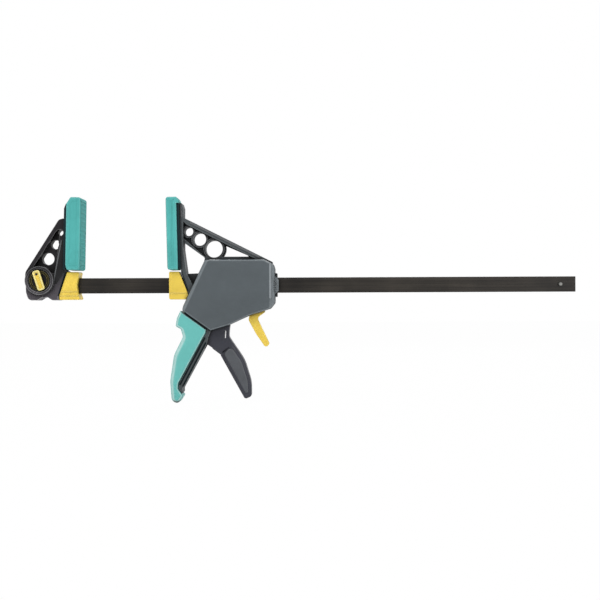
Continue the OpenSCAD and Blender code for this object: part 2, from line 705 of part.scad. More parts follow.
// One half of the body's case, open towards the middle plane
module half_shell(side) {
  y0 = side < 0 ? -body_w / 2 : 0;
  in0 = side < 0 ? -inner_y : -over;
  difference() {
    intersection() {
      union() {
        soft_slab(body_outline, body_w, shell_bevel, 2);
        mid_slab(collar_outline, collar_w);
      }
      slab([[0, pad_top], [2 * rear_face, pad_top], [2 * rear_face, -pad_top], [0, -pad_top]],
        y0, y0 + body_w / 2);
    }
    slab(inset(body_outline, shell_wall), in0, in0 + inner_y + over);
    bar_passage(rear_face - shell_wall - over, collar_end + over);
    mid_slab(column_outline, flange_w);
    mid_slab(arm_slot, flange_w);
    mid_slab(web_outline, web_w);
    mid_slab(chord_outline, flange_w);
    mid_slab(moving_shoe_outline, shoe_w);
    mid_slab(column_slot, flange_w);
    handle_core();
    handle_spine(spine_w);
    mid_slab(guide_outline, plate_w);
    trigger_room(trigger_web_w);
    lever_room(lever_w);
    rod(pivot, trigger_pin_r, -pin_end, pin_end);
    rod(lever_pivot, lever_pin_r, -pin_end, pin_end);
  }
}

module front_shell() {
  color(body_grey) in_part_frame() on_moving_jaw() half_shell(-1);
}

module back_shell() {
  color(body_grey) in_part_frame() on_moving_jaw() difference() {
    half_shell(1);
    for (s = screws) {
      rod(s, screw_r, 0, body_w);
      rod(s, screw_head_r, screw_seat, body_w);
    }
  }
}

module soft_grip() {
  color(soft_teal) in_part_frame() on_moving_jaw() difference() {
    soft_slab(grip_outline, grip_w, 4, 1);
    handle_core();
  }
}

module shell_screws() {
  color(steel_bright) in_part_frame() on_moving_jaw() for (s = screws) difference() {
    union() {
      rod(s, screw_r, screw_seat - screw_len, screw_seat);
      rod(s, screw_head_r, screw_seat, body_w / 2 - 0.3);
    }
    for (a = [0, 90]) translate([s[0], body_w / 2, s[1]]) rotate([0, a, 0])
      cube([screw_head_r * 1.2, 2, 0.8], center = true);
  }
}

// ---- trigger, drive plates and their spring
module trigger_pin() {
  color(steel_bright) in_part_frame() on_moving_jaw() rod(pivot, trigger_pin_r, -pin_end, pin_end);
}

module trigger() {
  color(trigger_grey) in_part_frame() on_moving_jaw() difference() {
    union() {
      mid_slab(trigger_web_outline, trigger_web_w);
      rod(pivot, hub_r, -trigger_web_w / 2, trigger_web_w / 2);
      rod([nose_x, nose_z], nose_r, -trigger_web_w / 2, trigger_web_w / 2);
      soft_slab(finger_outline, trigger_w, 4);
    }
    rod(pivot, trigger_pin_r + pin_clear, -trigger_w, trigger_w);
    mid_slab(trigger_slot, trigger_w);
  }
}

module drive_plates() {
  color(steel_bright) in_part_frame() on_moving_jaw() for (k = [0 : drive_plate_count - 1])
    translate([drive_x + drive_plate_t / 2 + k * (drive_plate_t + plate_gap), 0, 0])
      bar_plate(drive_plate_t, plate_bottom, plate_top, slot_h, 0);
}

module drive_spring() {
  color(steel_bright) in_part_frame() on_moving_jaw()
    bar_spring(drive_end + spring_seat, drive_bay[1] - spring_seat, drive_turns);
}

// ---- brake and release lever
module release_pin() {
  color(steel_bright) in_part_frame() on_moving_jaw() rod(lever_pivot, lever_pin_r, -pin_end, pin_end);
}

module release_lever() {
  color(clear_yellow) in_part_frame() on_moving_jaw() difference() {
    union() {
      mid_slab(lever_outline, lever_w);
      rod(lever_pivot, lever_hub_r, -lever_w / 2, lever_w / 2);
      rod([lever_tip_x, lever_tip_z], lever_tip_r, -lever_w / 2, lever_w / 2);
      mid_slab([[lever_tip_x - lever_tip_r, lever_tip_z],
        [lever_tip_x + lever_tip_r - 2 * run_gap, lever_tip_z],
        [lever_pivot[0] - 3, lever_pivot[1]], [lever_pivot[0] - lever_hub_r, lever_pivot[1] - 1]], lever_w);
    }
    rod(lever_pivot, lever_pin_r + pin_clear, -lever_w, lever_w);
  }
}

// Brake plate: its round top edge rocks on the fulcrum
module brake_plate() {
  color(steel_bright) in_part_frame() on_moving_jaw() {
    translate([fulcrum[0], 0, fulcrum[1]]) rotate([0, brake_tilt, 0])
      bar_plate(brake_t, -brake_foot, 0, bar_h + brake_slack, -fulcrum[1] / cos(brake_tilt));
    rod(fulcrum, rocker_r, -rocker_w / 2, rocker_w / 2);
  }
}

module brake_spring() {
  lean = tan(brake_tilt) * (fulcrum[1] - coil_r - wire_r);
  color(steel_bright) in_part_frame() on_moving_jaw()
    bar_spring(fulcrum[0] + brake_t / 2 / cos(brake_tilt) - lean + spring_seat,
      brake_bay[1] - spring_seat, brake_turns);
}

bar();
stop_pin();
fixed_jaw();
fixed_carrier();
fixed_pad();
fixed_shoe();
lock_knob();
lock_grip();
lock_shaft();
lock_washer();
lock_nut();
jaw_frame();
moving_carrier();
moving_pad();
moving_shoe();
rear_guide();
front_shell();
back_shell();
soft_grip();
shell_screws();
trigger_pin();
trigger();
drive_plates();
drive_spring();
release_pin();
release_lever();
brake_plate();
brake_spring();
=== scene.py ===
import math
import bmesh
import bpy
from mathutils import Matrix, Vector


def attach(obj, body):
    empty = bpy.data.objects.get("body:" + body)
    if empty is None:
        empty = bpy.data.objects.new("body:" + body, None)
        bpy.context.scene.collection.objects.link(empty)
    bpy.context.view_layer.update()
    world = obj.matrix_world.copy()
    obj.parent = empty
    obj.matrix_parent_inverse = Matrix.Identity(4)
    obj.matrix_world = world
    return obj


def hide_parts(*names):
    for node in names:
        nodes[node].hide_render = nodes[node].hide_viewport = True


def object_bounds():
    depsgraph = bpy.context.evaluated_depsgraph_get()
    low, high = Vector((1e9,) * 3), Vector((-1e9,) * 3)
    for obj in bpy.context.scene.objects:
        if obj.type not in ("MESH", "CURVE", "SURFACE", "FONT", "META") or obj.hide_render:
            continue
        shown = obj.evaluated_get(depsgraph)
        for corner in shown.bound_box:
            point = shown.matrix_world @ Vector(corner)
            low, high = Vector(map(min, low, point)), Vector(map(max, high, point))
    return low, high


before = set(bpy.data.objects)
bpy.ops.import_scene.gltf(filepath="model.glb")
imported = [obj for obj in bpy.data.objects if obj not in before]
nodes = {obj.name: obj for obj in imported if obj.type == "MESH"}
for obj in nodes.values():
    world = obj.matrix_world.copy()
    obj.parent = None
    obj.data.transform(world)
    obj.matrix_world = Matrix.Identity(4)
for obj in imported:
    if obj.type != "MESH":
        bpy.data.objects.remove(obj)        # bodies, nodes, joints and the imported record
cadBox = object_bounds()
mm = 0.001
print("frame loaded")

# camera, floor and light, in metres and watts
cameraSetup = {
    "middle": (0.26862, 0, -0.0823),       # what the lens points at
    "distance": 1.25,
    "frameWidth": 0.7452,       # width seen at the clamp's middle plane
    "sensor": 36.0,
    "nearest": 0.01,
    "roll": 0.004,
}
lightSetup = {
    "key": {"place": (-0.45, -1.1, 1.2), "size": 1.1, "power": 18.0},
    "fill": {"place": (1.3, -1.3, 0.35), "size": 1.2, "power": 8.5},
    "rim": {"place": (0.4, 1.1, 0.9), "size": 1.0, "power": 8.0},
    "worldLevel": 0.3,
    "floorSize": 9.0,
    "floorPaint": (0.93, 0.93, 0.93, 1.0),
    "floorRoughness": 0.9,
    "floorGlow": 0.985,       # share of plain white that the camera sees on the floor
}


def makeCamera(setup):
    lens = bpy.data.cameras.new("benchCamera")
    lens.sensor_width = setup["sensor"]
    lens.lens = setup["sensor"] * setup["distance"] / setup["frameWidth"]
    lens.clip_start = setup["nearest"]
    camera = bpy.data.objects.new("benchCamera", lens)
    bpy.context.collection.objects.link(camera)
    x, y, z = setup["middle"]
    camera.location = (x, y - setup["distance"], z)
    camera.rotation_euler = (math.pi / 2, setup["roll"], 0)
    bpy.context.scene.camera = camera


def addLamp(name, setup, target):
    lamp = bpy.data.lights.new(name, "AREA")
    lamp.shape = "DISK"
    lamp.size = setup["size"]
    lamp.energy = setup["power"]
    holder = bpy.data.objects.new(name, lamp)
    bpy.context.collection.objects.link(holder)
    holder.location = setup["place"]
    holder.rotation_euler = (target - Vector(setup["place"])).to_track_quat("-Z", "Y").to_euler()


def seenRays(tree):
    # camera, glossy and see-through rays all meet the same white
    path = tree.nodes.new("ShaderNodeLightPath")
    first = tree.nodes.new("ShaderNodeMath")
    first.operation = "MAXIMUM"
    tree.links.new(path.outputs["Is Camera Ray"], first.inputs[0])
    tree.links.new(path.outputs["Is Glossy Ray"], first.inputs[1])
    second = tree.nodes.new("ShaderNodeMath")
    second.operation = "MAXIMUM"
    tree.links.new(first.outputs[0], second.inputs[0])
    tree.links.new(path.outputs["Is Transmission Ray"], second.inputs[1])
    return second.outputs[0]


def makeWorld(setup):
    world = bpy.data.worlds.new("studioWorld")
    world.use_nodes = True
    bpy.context.scene.world = world
    tree = world.node_tree
    background = tree.nodes["Background"]
    background.inputs["Color"].default_value = (1, 1, 1, 1)
    level = tree.nodes.new("ShaderNodeMapRange")
    level.inputs["To Min"].default_value = setup["worldLevel"]
    level.inputs["To Max"].default_value = 1.0
    tree.links.new(seenRays(tree), level.inputs["Value"])
    tree.links.new(level.outputs["Result"], background.inputs["Strength"])


def makeFloor(setup, height):
    half = setup["floorSize"] / 2
    mesh = bpy.data.meshes.new("floor")
    corners = [(x, y, height) for x, y in ((-half, -half), (half, -half), (half, half), (-half, half))]
    mesh.from_pydata(corners, [], [(0, 1, 2, 3)])
    floor = bpy.data.objects.new("floor", mesh)
    bpy.context.collection.objects.link(floor)
    paint = bpy.data.materials.new("floorPaint")
    paint.use_nodes = True
    tree = paint.node_tree
    plain = tree.nodes["Principled BSDF"]
    plain.inputs["Base Color"].default_value = setup["floorPaint"]
    plain.inputs["Roughness"].default_value = setup["floorRoughness"]
    glow = tree.nodes.new("ShaderNodeEmission")
    share = tree.nodes.new("ShaderNodeMath")
    share.operation = "MULTIPLY"
    share.inputs[1].default_value = setup["floorGlow"]
    mix = tree.nodes.new("ShaderNodeMixShader")
    tree.links.new(seenRays(tree), share.inputs[0])
    tree.links.new(share.outputs[0], mix.inputs["Fac"])
    tree.links.new(plain.outputs["BSDF"], mix.inputs[1])
    tree.links.new(glow.outputs["Emission"], mix.inputs[2])
    tree.links.new(mix.outputs["Shader"], tree.nodes["Material Output"].inputs["Surface"])
    mesh.materials.append(paint)


makeCamera(cameraSetup)
makeWorld(lightSetup)
makeFloor(lightSetup, cadBox[0][2])
for lampName in ("key", "fill", "rim"):
    addLamp(lampName + "Lamp", lightSetup[lampName], Vector(cameraSetup["middle"]))
bpy.context.scene.view_settings.view_transform = "Standard"
print("camera, floor and lamps ready")


# finishes: node groups that the materials share
def newGroup(name, inputs, outputs):
    # inputs and outputs: what kind of socket each label has
    group = bpy.data.node_groups.new(name, "ShaderNodeTree")
    kinds = {"color": "NodeSocketColor", "value": "NodeSocketFloat", "vector": "NodeSocketVector"}
    for sockets, way in ((inputs, "INPUT"), (outputs, "OUTPUT")):
        for label, kind in sockets.items():
            group.interface.new_socket(label, in_out=way, socket_type=kinds[kind])
    return group, group.nodes.new("NodeGroupInput"), group.nodes.new("NodeGroupOutput")


def addNode(tree, kind, values=None, **settings):
    node = tree.nodes.new(kind)
    for key, value in settings.items():
        setattr(node, key, value)
    for key, value in (values or {}).items():
        node.inputs[key].default_value = value
    return node


def makeEdgeGroup():
    # 1 along the outer edges of a piece, 0 on its flats: where the finishes paint their edge highlights and
    # edge shade
    group, start, end = newGroup("paintedEdgeShading", {"Width": "value"}, {"Edge": "value"})
    bevel = addNode(group, "ShaderNodeBevel", samples=4)
    group.links.new(start.outputs["Width"], bevel.inputs["Radius"])
    geometry = group.nodes.new("ShaderNodeNewGeometry")
    dot = addNode(group, "ShaderNodeVectorMath", operation="DOT_PRODUCT")
    group.links.new(bevel.outputs["Normal"], dot.inputs[0])
    group.links.new(geometry.outputs["Normal"], dot.inputs[1])
    spread = addNode(group, "ShaderNodeMapRange", {"From Min": 0.99, "From Max": 0.78})
    group.links.new(dot.outputs["Value"], spread.inputs["Value"])
    group.links.new(spread.outputs["Result"], end.inputs["Edge"])
    return group


def makeGrainGroup():
    # fine moulded grain with slow changes of tone and sheen
    sheenSwing = 0.09       # how far the sheen goes with the tone
    group, start, end = newGroup(
        "mouldedGrain",
        {"Color": "color", "Edge Color": "color", "Edge": "value", "Tone": "value", "Grain Size": "value",
         "Depth": "value", "Gloss": "value"},
        {"Color": "color", "Roughness": "value", "Normal": "vector"})
    place = group.nodes.new("ShaderNodeTexCoord")
    cloud = addNode(group, "ShaderNodeTexNoise", {"Scale": 26, "Detail": 4, "Roughness": 0.6})
    speck = addNode(group, "ShaderNodeTexNoise", {"Detail": 2, "Roughness": 0.6})
    group.links.new(place.outputs["Object"], cloud.inputs["Vector"])
    group.links.new(place.outputs["Object"], speck.inputs["Vector"])
    group.links.new(start.outputs["Grain Size"], speck.inputs["Scale"])
    centred = addNode(group, "ShaderNodeMapRange",
                      {"From Min": 0.3, "From Max": 0.7, "To Min": -1.0, "To Max": 1.0})
    group.links.new(cloud.outputs["Fac"], centred.inputs["Value"])
    swing = addNode(group, "ShaderNodeMath", operation="MULTIPLY")
    group.links.new(centred.outputs["Result"], swing.inputs[0])
    group.links.new(start.outputs["Tone"], swing.inputs[1])
    level = addNode(group, "ShaderNodeMath", {1: 1.0}, operation="ADD")
    group.links.new(swing.outputs[0], level.inputs[0])
    tint = addNode(group, "ShaderNodeHueSaturation")
    group.links.new(start.outputs["Color"], tint.inputs["Color"])
    group.links.new(level.outputs[0], tint.inputs["Value"])
    # painted highlight along the edges where Edge Color is lighter, painted shade where it is darker
    edgeShaded = addNode(group, "ShaderNodeMix", data_type="RGBA")
    group.links.new(start.outputs["Edge"], edgeShaded.inputs["Factor"])
    group.links.new(tint.outputs["Color"], edgeShaded.inputs["A"])
    group.links.new(start.outputs["Edge Color"], edgeShaded.inputs["B"])
    group.links.new(edgeShaded.outputs["Result"], end.inputs["Color"])
    sheen = addNode(group, "ShaderNodeMath", {1: sheenSwing}, operation="MULTIPLY_ADD")
    group.links.new(centred.outputs["Result"], sheen.inputs[0])
    group.links.new(start.outputs["Gloss"], sheen.inputs[2])
    group.links.new(sheen.outputs[0], end.inputs["Roughness"])
    bump = addNode(group, "ShaderNodeBump", {"Distance": 0.0002})
    group.links.new(start.outputs["Depth"], bump.inputs["Strength"])
    group.links.new(speck.outputs["Fac"], bump.inputs["Height"])
    group.links.new(bump.outputs["Normal"], end.inputs["Normal"])
    return group


def makeStreakGroup():
    # marks drawn out along X, as rolling and the sliding jaw leave them
    lineSpread = (4, 360, 360)       # streaks per metre along each axis
    sheenSwing = 0.22                # how far the sheen goes with the streaks
    group, start, end = newGroup(
        "drawnStreaks",
        {"Color": "color", "Light Color": "color", "Edge": "value", "Edge Color": "color", "Gloss": "value"},
        {"Color": "color", "Roughness": "value", "Normal": "vector"})
    place = group.nodes.new("ShaderNodeTexCoord")
    stretch = addNode(group, "ShaderNodeMapping", {"Scale": lineSpread})
    group.links.new(place.outputs["Object"], stretch.inputs["Vector"])
    lines = addNode(group, "ShaderNodeTexNoise", {"Scale": 1, "Detail": 5, "Roughness": 0.7})
    group.links.new(stretch.outputs["Vector"], lines.inputs["Vector"])
    patches = addNode(group, "ShaderNodeTexNoise", {"Scale": 14, "Detail": 3})
    group.links.new(place.outputs["Object"], patches.inputs["Vector"])
    blend = addNode(group, "ShaderNodeMath", operation="MULTIPLY")
    group.links.new(lines.outputs["Fac"], blend.inputs[0])
    group.links.new(patches.outputs["Fac"], blend.inputs[1])
    spread = addNode(group, "ShaderNodeMapRange", {"From Min": 0.16, "From Max": 0.4})
    group.links.new(blend.outputs[0], spread.inputs["Value"])
    base = addNode(group, "ShaderNodeMix", data_type="RGBA")
    group.links.new(spread.outputs["Result"], base.inputs["Factor"])
    group.links.new(start.outputs["Color"], base.inputs["A"])
    group.links.new(start.outputs["Light Color"], base.inputs["B"])
    # painted highlight along the edges where Edge Color is lighter, painted shade where it is darker
    edgeShaded = addNode(group, "ShaderNodeMix", data_type="RGBA")
    group.links.new(start.outputs["Edge"], edgeShaded.inputs["Factor"])
    group.links.new(base.outputs["Result"], edgeShaded.inputs["A"])
    group.links.new(start.outputs["Edge Color"], edgeShaded.inputs["B"])
    group.links.new(edgeShaded.outputs["Result"], end.inputs["Color"])
    sheen = addNode(group, "ShaderNodeMath", {1: sheenSwing}, operation="MULTIPLY_ADD")
    group.links.new(lines.outputs["Fac"], sheen.inputs[0])
    group.links.new(start.outputs["Gloss"], sheen.inputs[2])
    group.links.new(sheen.outputs[0], end.inputs["Roughness"])
    bump = addNode(group, "ShaderNodeBump", {"Strength": 0.35, "Distance": 0.0001})
    group.links.new(lines.outputs["Fac"], bump.inputs["Height"])
    group.links.new(bump.outputs["Normal"], end.inputs["Normal"])
    return group


def makeCreaseGroup():
    # paints shade into a colour in corners and beside narrow gaps
    group, start, end = newGroup(
        "creaseShade", {"Color": "color", "Reach": "value", "Dark": "value"}, {"Color": "color"})
    gapSense = addNode(group, "ShaderNodeAmbientOcclusion", samples=8)
    group.links.new(start.outputs["Reach"], gapSense.inputs["Distance"])
    spread = addNode(group, "ShaderNodeMapRange", {"From Min": 0.4, "From Max": 0.92})
    group.links.new(gapSense.outputs["AO"], spread.inputs["Value"])
    rest = addNode(group, "ShaderNodeMath", {0: 1.0}, operation="SUBTRACT")
    group.links.new(start.outputs["Dark"], rest.inputs[1])
    level = addNode(group, "ShaderNodeMath", operation="MULTIPLY_ADD")
    group.links.new(spread.outputs["Result"], level.inputs[0])
    group.links.new(start.outputs["Dark"], level.inputs[1])
    group.links.new(rest.outputs[0], level.inputs[2])
    shade = addNode(group, "ShaderNodeHueSaturation")
    group.links.new(start.outputs["Color"], shade.inputs["Color"])
    group.links.new(level.outputs[0], shade.inputs["Value"])
    group.links.new(shade.outputs["Color"], end.inputs["Color"])
    return group


def makeFacetGroup():
    # paints a highlight on the slopes between a flat side and its edge, lighter and, by Fade, greyer
    group, start, end = newGroup(
        "paintedSlopeHighlight", {"Color": "color", "Gain": "value", "Fade": "value"}, {"Color": "color"})
    geometry = group.nodes.new("ShaderNodeNewGeometry")
    parts = group.nodes.new("ShaderNodeSeparateXYZ")
    group.links.new(geometry.outputs["Normal"], parts.inputs["Vector"])
    across = addNode(group, "ShaderNodeMath", operation="ABSOLUTE")
    group.links.new(parts.outputs["Y"], across.inputs[0])
    tilted = addNode(group, "ShaderNodeMapRange", {"From Min": 0.995, "From Max": 0.93})
    facing = addNode(group, "ShaderNodeMapRange", {"From Min": 0.45, "From Max": 0.7})
    group.links.new(across.outputs[0], tilted.inputs["Value"])
    group.links.new(across.outputs[0], facing.inputs["Value"])
    both = addNode(group, "ShaderNodeMath", operation="MULTIPLY")
    group.links.new(tilted.outputs["Result"], both.inputs[0])
    group.links.new(facing.outputs["Result"], both.inputs[1])
    level = addNode(group, "ShaderNodeMath", {2: 1.0}, operation="MULTIPLY_ADD")
    group.links.new(both.outputs[0], level.inputs[0])
    group.links.new(start.outputs["Gain"], level.inputs[1])
    drained = addNode(group, "ShaderNodeMath", operation="MULTIPLY")
    group.links.new(both.outputs[0], drained.inputs[0])
    group.links.new(start.outputs["Fade"], drained.inputs[1])
    purity = addNode(group, "ShaderNodeMath", {0: 1.0}, operation="SUBTRACT")
    group.links.new(drained.outputs[0], purity.inputs[1])
    lit = addNode(group, "ShaderNodeHueSaturation")
    group.links.new(start.outputs["Color"], lit.inputs["Color"])
    group.links.new(level.outputs[0], lit.inputs["Value"])
    group.links.new(purity.outputs[0], lit.inputs["Saturation"])
    group.links.new(lit.outputs["Color"], end.inputs["Color"])
    return group


def makeFootGroup():
    # paints light into a colour towards the foot of a piece, between two heights
    group, start, end = newGroup("footLight", {"Color": "color", "Gain": "value"}, {"Color": "color"})
    place = group.nodes.new("ShaderNodeTexCoord")
    parts = group.nodes.new("ShaderNodeSeparateXYZ")
    group.links.new(place.outputs["Object"], parts.inputs["Vector"])
    low = addNode(group, "ShaderNodeMapRange", {"From Min": -0.045, "From Max": -0.08})
    group.links.new(parts.outputs["Z"], low.inputs["Value"])
    level = addNode(group, "ShaderNodeMath", {2: 1.0}, operation="MULTIPLY_ADD")
    group.links.new(low.outputs["Result"], level.inputs[0])
    group.links.new(start.outputs["Gain"], level.inputs[1])
    lit = addNode(group, "ShaderNodeHueSaturation")
    group.links.new(start.outputs["Color"], lit.inputs["Color"])
    group.links.new(level.outputs[0], lit.inputs["Value"])
    group.links.new(lit.outputs["Color"], end.inputs["Color"])
    return group


edgeShadingGroup = makeEdgeGroup()
footLightGroup = makeFootGroup()
slopeHighlightGroup = makeFacetGroup()
grainGroup = makeGrainGroup()
streakGroup = makeStreakGroup()
paintedShadeGroup = makeCreaseGroup()
# how far and how dark the painted shade in creases and beside gaps reaches
creaseShading = {"Reach": 0.005, "Dark": 0.8}
pocketShading = {"Reach": 0.014, "Dark": 0.95}      # for castings with deep pockets
print("node groups built")


def fromScreen(red, green, blue):
    # a colour read off a screen, as the shader wants it
    return tuple(((c / 255 + 0.055) / 1.055) ** 2.4 for c in (red, green, blue)) + (1,)


def placeGroup(tree, group, values):
    node = tree.nodes.new("ShaderNodeGroup")
    node.node_tree = group
    for key, value in values.items():
        node.inputs[key].default_value = value
    return node


def finishFrom(name, group, values, shader, edgeWidth, slopeHighlight=(0, 0), gaps=creaseShading, footLightGain=0):
    # painted highlight on the slopes beside the edges: first how much lighter, then how much greyer it makes
    # them
    material = bpy.data.materials.new(name)
    material.use_nodes = True
    tree = material.node_tree
    surface = tree.nodes["Principled BSDF"]
    for key, value in shader.items():
        surface.inputs[key].default_value = value
    # each finish's Edge Color is painted light: a painted highlight along the edges where it is lighter than
    # Color, painted shade where it is darker
    edge = placeGroup(tree, edgeShadingGroup, {"Width": edgeWidth})
    look = placeGroup(tree, group, values)
    tree.links.new(edge.outputs["Edge"], look.inputs["Edge"])
    # painted shade in corners and beside narrow gaps
    cornerShade = placeGroup(tree, paintedShadeGroup, gaps)
    # painted light towards the foot of the piece
    foot = placeGroup(tree, footLightGroup, {"Gain": footLightGain})
    # painted highlight on the slopes beside the edges
    slopeLit = placeGroup(tree, slopeHighlightGroup, {"Gain": slopeHighlight[0], "Fade": slopeHighlight[1]})
    tree.links.new(look.outputs["Color"], foot.inputs["Color"])
    tree.links.new(foot.outputs["Color"], slopeLit.inputs["Color"])
    tree.links.new(slopeLit.outputs["Color"], cornerShade.inputs["Color"])
    tree.links.new(cornerShade.outputs["Color"], surface.inputs["Base Color"])
    tree.links.new(look.outputs["Roughness"], surface.inputs["Roughness"])
    tree.links.new(look.outputs["Normal"], surface.inputs["Normal"])
    return material


# near black: the painted shadow lines along the joints beside the shoes and down the handle's spine
jointShadowPlastic = finishFrom(
    "jointShadowPlastic", grainGroup,
    {"Color": fromScreen(14, 26, 28), "Edge Color": fromScreen(20, 34, 36),
     "Tone": 0.25, "Grain Size": 1500, "Depth": 0.35, "Gloss": 0.55},
    {"Specular IOR Level": 0.08},
    edgeWidth=0.0004)
# near black; also worn as painted shade by the sheet beside the fixed pad and the rings round the arm's holes
jawPlastic = finishFrom(
    "jawPlastic", grainGroup,
    {"Color": fromScreen(34, 34, 35), "Edge Color": fromScreen(104, 105, 106),
     "Tone": 0.3, "Grain Size": 1700, "Depth": 0.4, "Gloss": 0.5},
    {"Specular IOR Level": 0.12},
    edgeWidth=0.0016, slopeHighlight=(0.5, 0))
# the fixed jaw's plastic, with painted light towards its foot and painted shade deep in its pockets
castPlastic = finishFrom(
    "castPlastic", grainGroup,
    {"Color": fromScreen(39, 37, 40), "Edge Color": fromScreen(100, 100, 100),
     "Tone": 0.42, "Grain Size": 1300, "Depth": 0.5, "Gloss": 0.5},
    {"Specular IOR Level": 0.15},
    edgeWidth=0.0016, slopeHighlight=(0.35, 0), gaps=pocketShading, footLightGain=3.2)
# the moving jaw's frame, with painted shade deep in its pockets
framePlastic = finishFrom(
    "framePlastic", grainGroup,
    {"Color": fromScreen(70, 75, 77), "Edge Color": fromScreen(124, 128, 130),
     "Tone": 0.2, "Grain Size": 1700, "Depth": 0.4, "Gloss": 0.5},
    {"Specular IOR Level": 0.15},
    edgeWidth=0.0014, slopeHighlight=(0.35, 0), gaps=pocketShading)
# a lighter copy of the jaw plastic, for painted highlights on the jaw's rib, the arm's bead and strip and the
# knob's boss ring
highlightPlastic = finishFrom(
    "highlightPlastic", grainGroup,
    {"Color": fromScreen(88, 90, 92), "Edge Color": fromScreen(112, 114, 116),
     "Tone": 0.12, "Grain Size": 2200, "Depth": 0.3, "Gloss": 0.44},
    {"Specular IOR Level": 0.3},
    edgeWidth=0.0009)
# the shells' grey, with a strong painted highlight on the sloped skin along the flank
greyPlastic = finishFrom(
    "greyPlastic", grainGroup,
    {"Color": fromScreen(77, 84, 88), "Edge Color": fromScreen(132, 139, 143),
     "Tone": 0.1, "Grain Size": 2400, "Depth": 0.3, "Gloss": 0.46},
    {"Specular IOR Level": 0.35},
    edgeWidth=0.0012, slopeHighlight=(0.95, 0.2))
# a lighter grey: the painted highlight of the bead at the edge of the shells' rear slope
shellHighlightPlastic = finishFrom(
    "shellHighlightPlastic", grainGroup,
    {"Color": fromScreen(128, 134, 138), "Edge Color": fromScreen(142, 148, 152),
     "Tone": 0.08, "Grain Size": 2400, "Depth": 0.25, "Gloss": 0.42},
    {"Specular IOR Level": 0.45},
    edgeWidth=0.0012)
triggerPlastic = finishFrom(
    "triggerPlastic", grainGroup,
    {"Color": fromScreen(59, 60, 68), "Edge Color": fromScreen(98, 99, 104),
     "Tone": 0.16, "Grain Size": 2400, "Depth": 0.28, "Gloss": 0.44},
    {"Specular IOR Level": 0.22},
    edgeWidth=0.0009)
# a lighter copy of the trigger plastic: the painted highlight on the finger part's raised band
triggerHighlightPlastic = finishFrom(
    "triggerHighlightPlastic", grainGroup,
    {"Color": fromScreen(72, 75, 80), "Edge Color": fromScreen(104, 106, 111),
     "Tone": 0.18, "Grain Size": 2000, "Depth": 0.35, "Gloss": 0.42},
    {"Specular IOR Level": 0.5},
    edgeWidth=0.0009)
carrierPlastic = finishFrom(
    "carrierPlastic", grainGroup,
    {"Color": fromScreen(20, 38, 43), "Edge Color": fromScreen(50, 70, 74),
     "Tone": 0.1, "Grain Size": 2200, "Depth": 0.2, "Gloss": 0.4},
    {"Specular IOR Level": 0.12},
    edgeWidth=0.0008)
tealRubber = finishFrom(
    "tealRubber", grainGroup,
    {"Color": fromScreen(84, 172, 168), "Edge Color": fromScreen(122, 194, 188),
     "Tone": 0.1, "Grain Size": 1500, "Depth": 0.4, "Gloss": 0.62},
    {"Specular IOR Level": 0.08},
    edgeWidth=0.0014, slopeHighlight=(0.15, 0.1))
gripRubber = finishFrom(
    "gripRubber", grainGroup,
    {"Color": fromScreen(100, 183, 177), "Edge Color": fromScreen(126, 190, 184),
     "Tone": 0.06, "Grain Size": 1500, "Depth": 0.3, "Gloss": 0.46},
    {"Specular IOR Level": 0.4, "Sheen Weight": 0.08, "Sheen Roughness": 0.5},
    edgeWidth=0.0014, slopeHighlight=(0.36, 0.5))
yellowPlastic = finishFrom(
    "yellowPlastic", grainGroup,
    {"Color": fromScreen(234, 203, 86), "Edge Color": fromScreen(250, 234, 150),
     "Tone": 0.12, "Grain Size": 2600, "Depth": 0.15, "Gloss": 0.38},
    {"Specular IOR Level": 0.22, "Subsurface Weight": 0.08, "Subsurface Radius": (0.004, 0.003, 0.001)},
    edgeWidth=0.0008)
# a lighter copy of the yellow: the painted highlight on the rim of the knob's bar
highlightYellow = finishFrom(
    "highlightYellow", grainGroup,
    {"Color": fromScreen(246, 230, 146), "Edge Color": fromScreen(252, 244, 190),
     "Tone": 0.06, "Grain Size": 2600, "Depth": 0.15, "Gloss": 0.36},
    {"Specular IOR Level": 0.5, "Subsurface Weight": 0.08, "Subsurface Radius": (0.004, 0.003, 0.001)},
    edgeWidth=0.0006)
# a shaded copy of the yellow: painted shade on the knob's thin rings
shadedYellow = finishFrom(
    "shadedYellow", grainGroup,
    {"Color": fromScreen(98, 90, 48), "Edge Color": fromScreen(98, 90, 48),
     "Tone": 0.2, "Grain Size": 1200, "Depth": 0.3, "Gloss": 0.45},
    {"Specular IOR Level": 0.3},
    edgeWidth=0.0004, gaps={"Reach": 0.001, "Dark": 0})
# its darker Edge Color is painted shade along the bar's rounded edges
blackSteel = finishFrom(
    "blackSteel", streakGroup,
    {"Color": fromScreen(18, 15, 12), "Light Color": fromScreen(54, 49, 43),
     "Edge Color": fromScreen(6, 5, 4), "Gloss": 0.3},
    {"Metallic": 0.55, "Specular IOR Level": 0.5},
    edgeWidth=0.0017)
pinSteel = finishFrom(
    "pinSteel", streakGroup,
    {"Color": fromScreen(120, 120, 116), "Light Color": fromScreen(160, 160, 156),
     "Edge Color": fromScreen(66, 64, 60), "Gloss": 0.4},
    {"Metallic": 0.3},
    edgeWidth=0.0003, gaps={"Reach": 0.001, "Dark": 0.3})
brightSteel = finishFrom(
    "brightSteel", streakGroup,
    {"Color": fromScreen(172, 174, 178), "Light Color": fromScreen(214, 216, 219),
     "Edge Color": fromScreen(232, 233, 235), "Gloss": 0.22},
    {"Metallic": 0.95},
    edgeWidth=0.0005)
print("finishes mixed")

# shapes for the pieces made here: sizes and outlines are in millimetres
leastRadius = 0.3       # of a rounded corner that moves inwards
weldGap = 0.01          # corners nearer than this become one
flatAngle = 1.0         # faces within this many degrees are one flat
edgeAngle = 28.0        # edges that turn by more than this many degrees are rounded


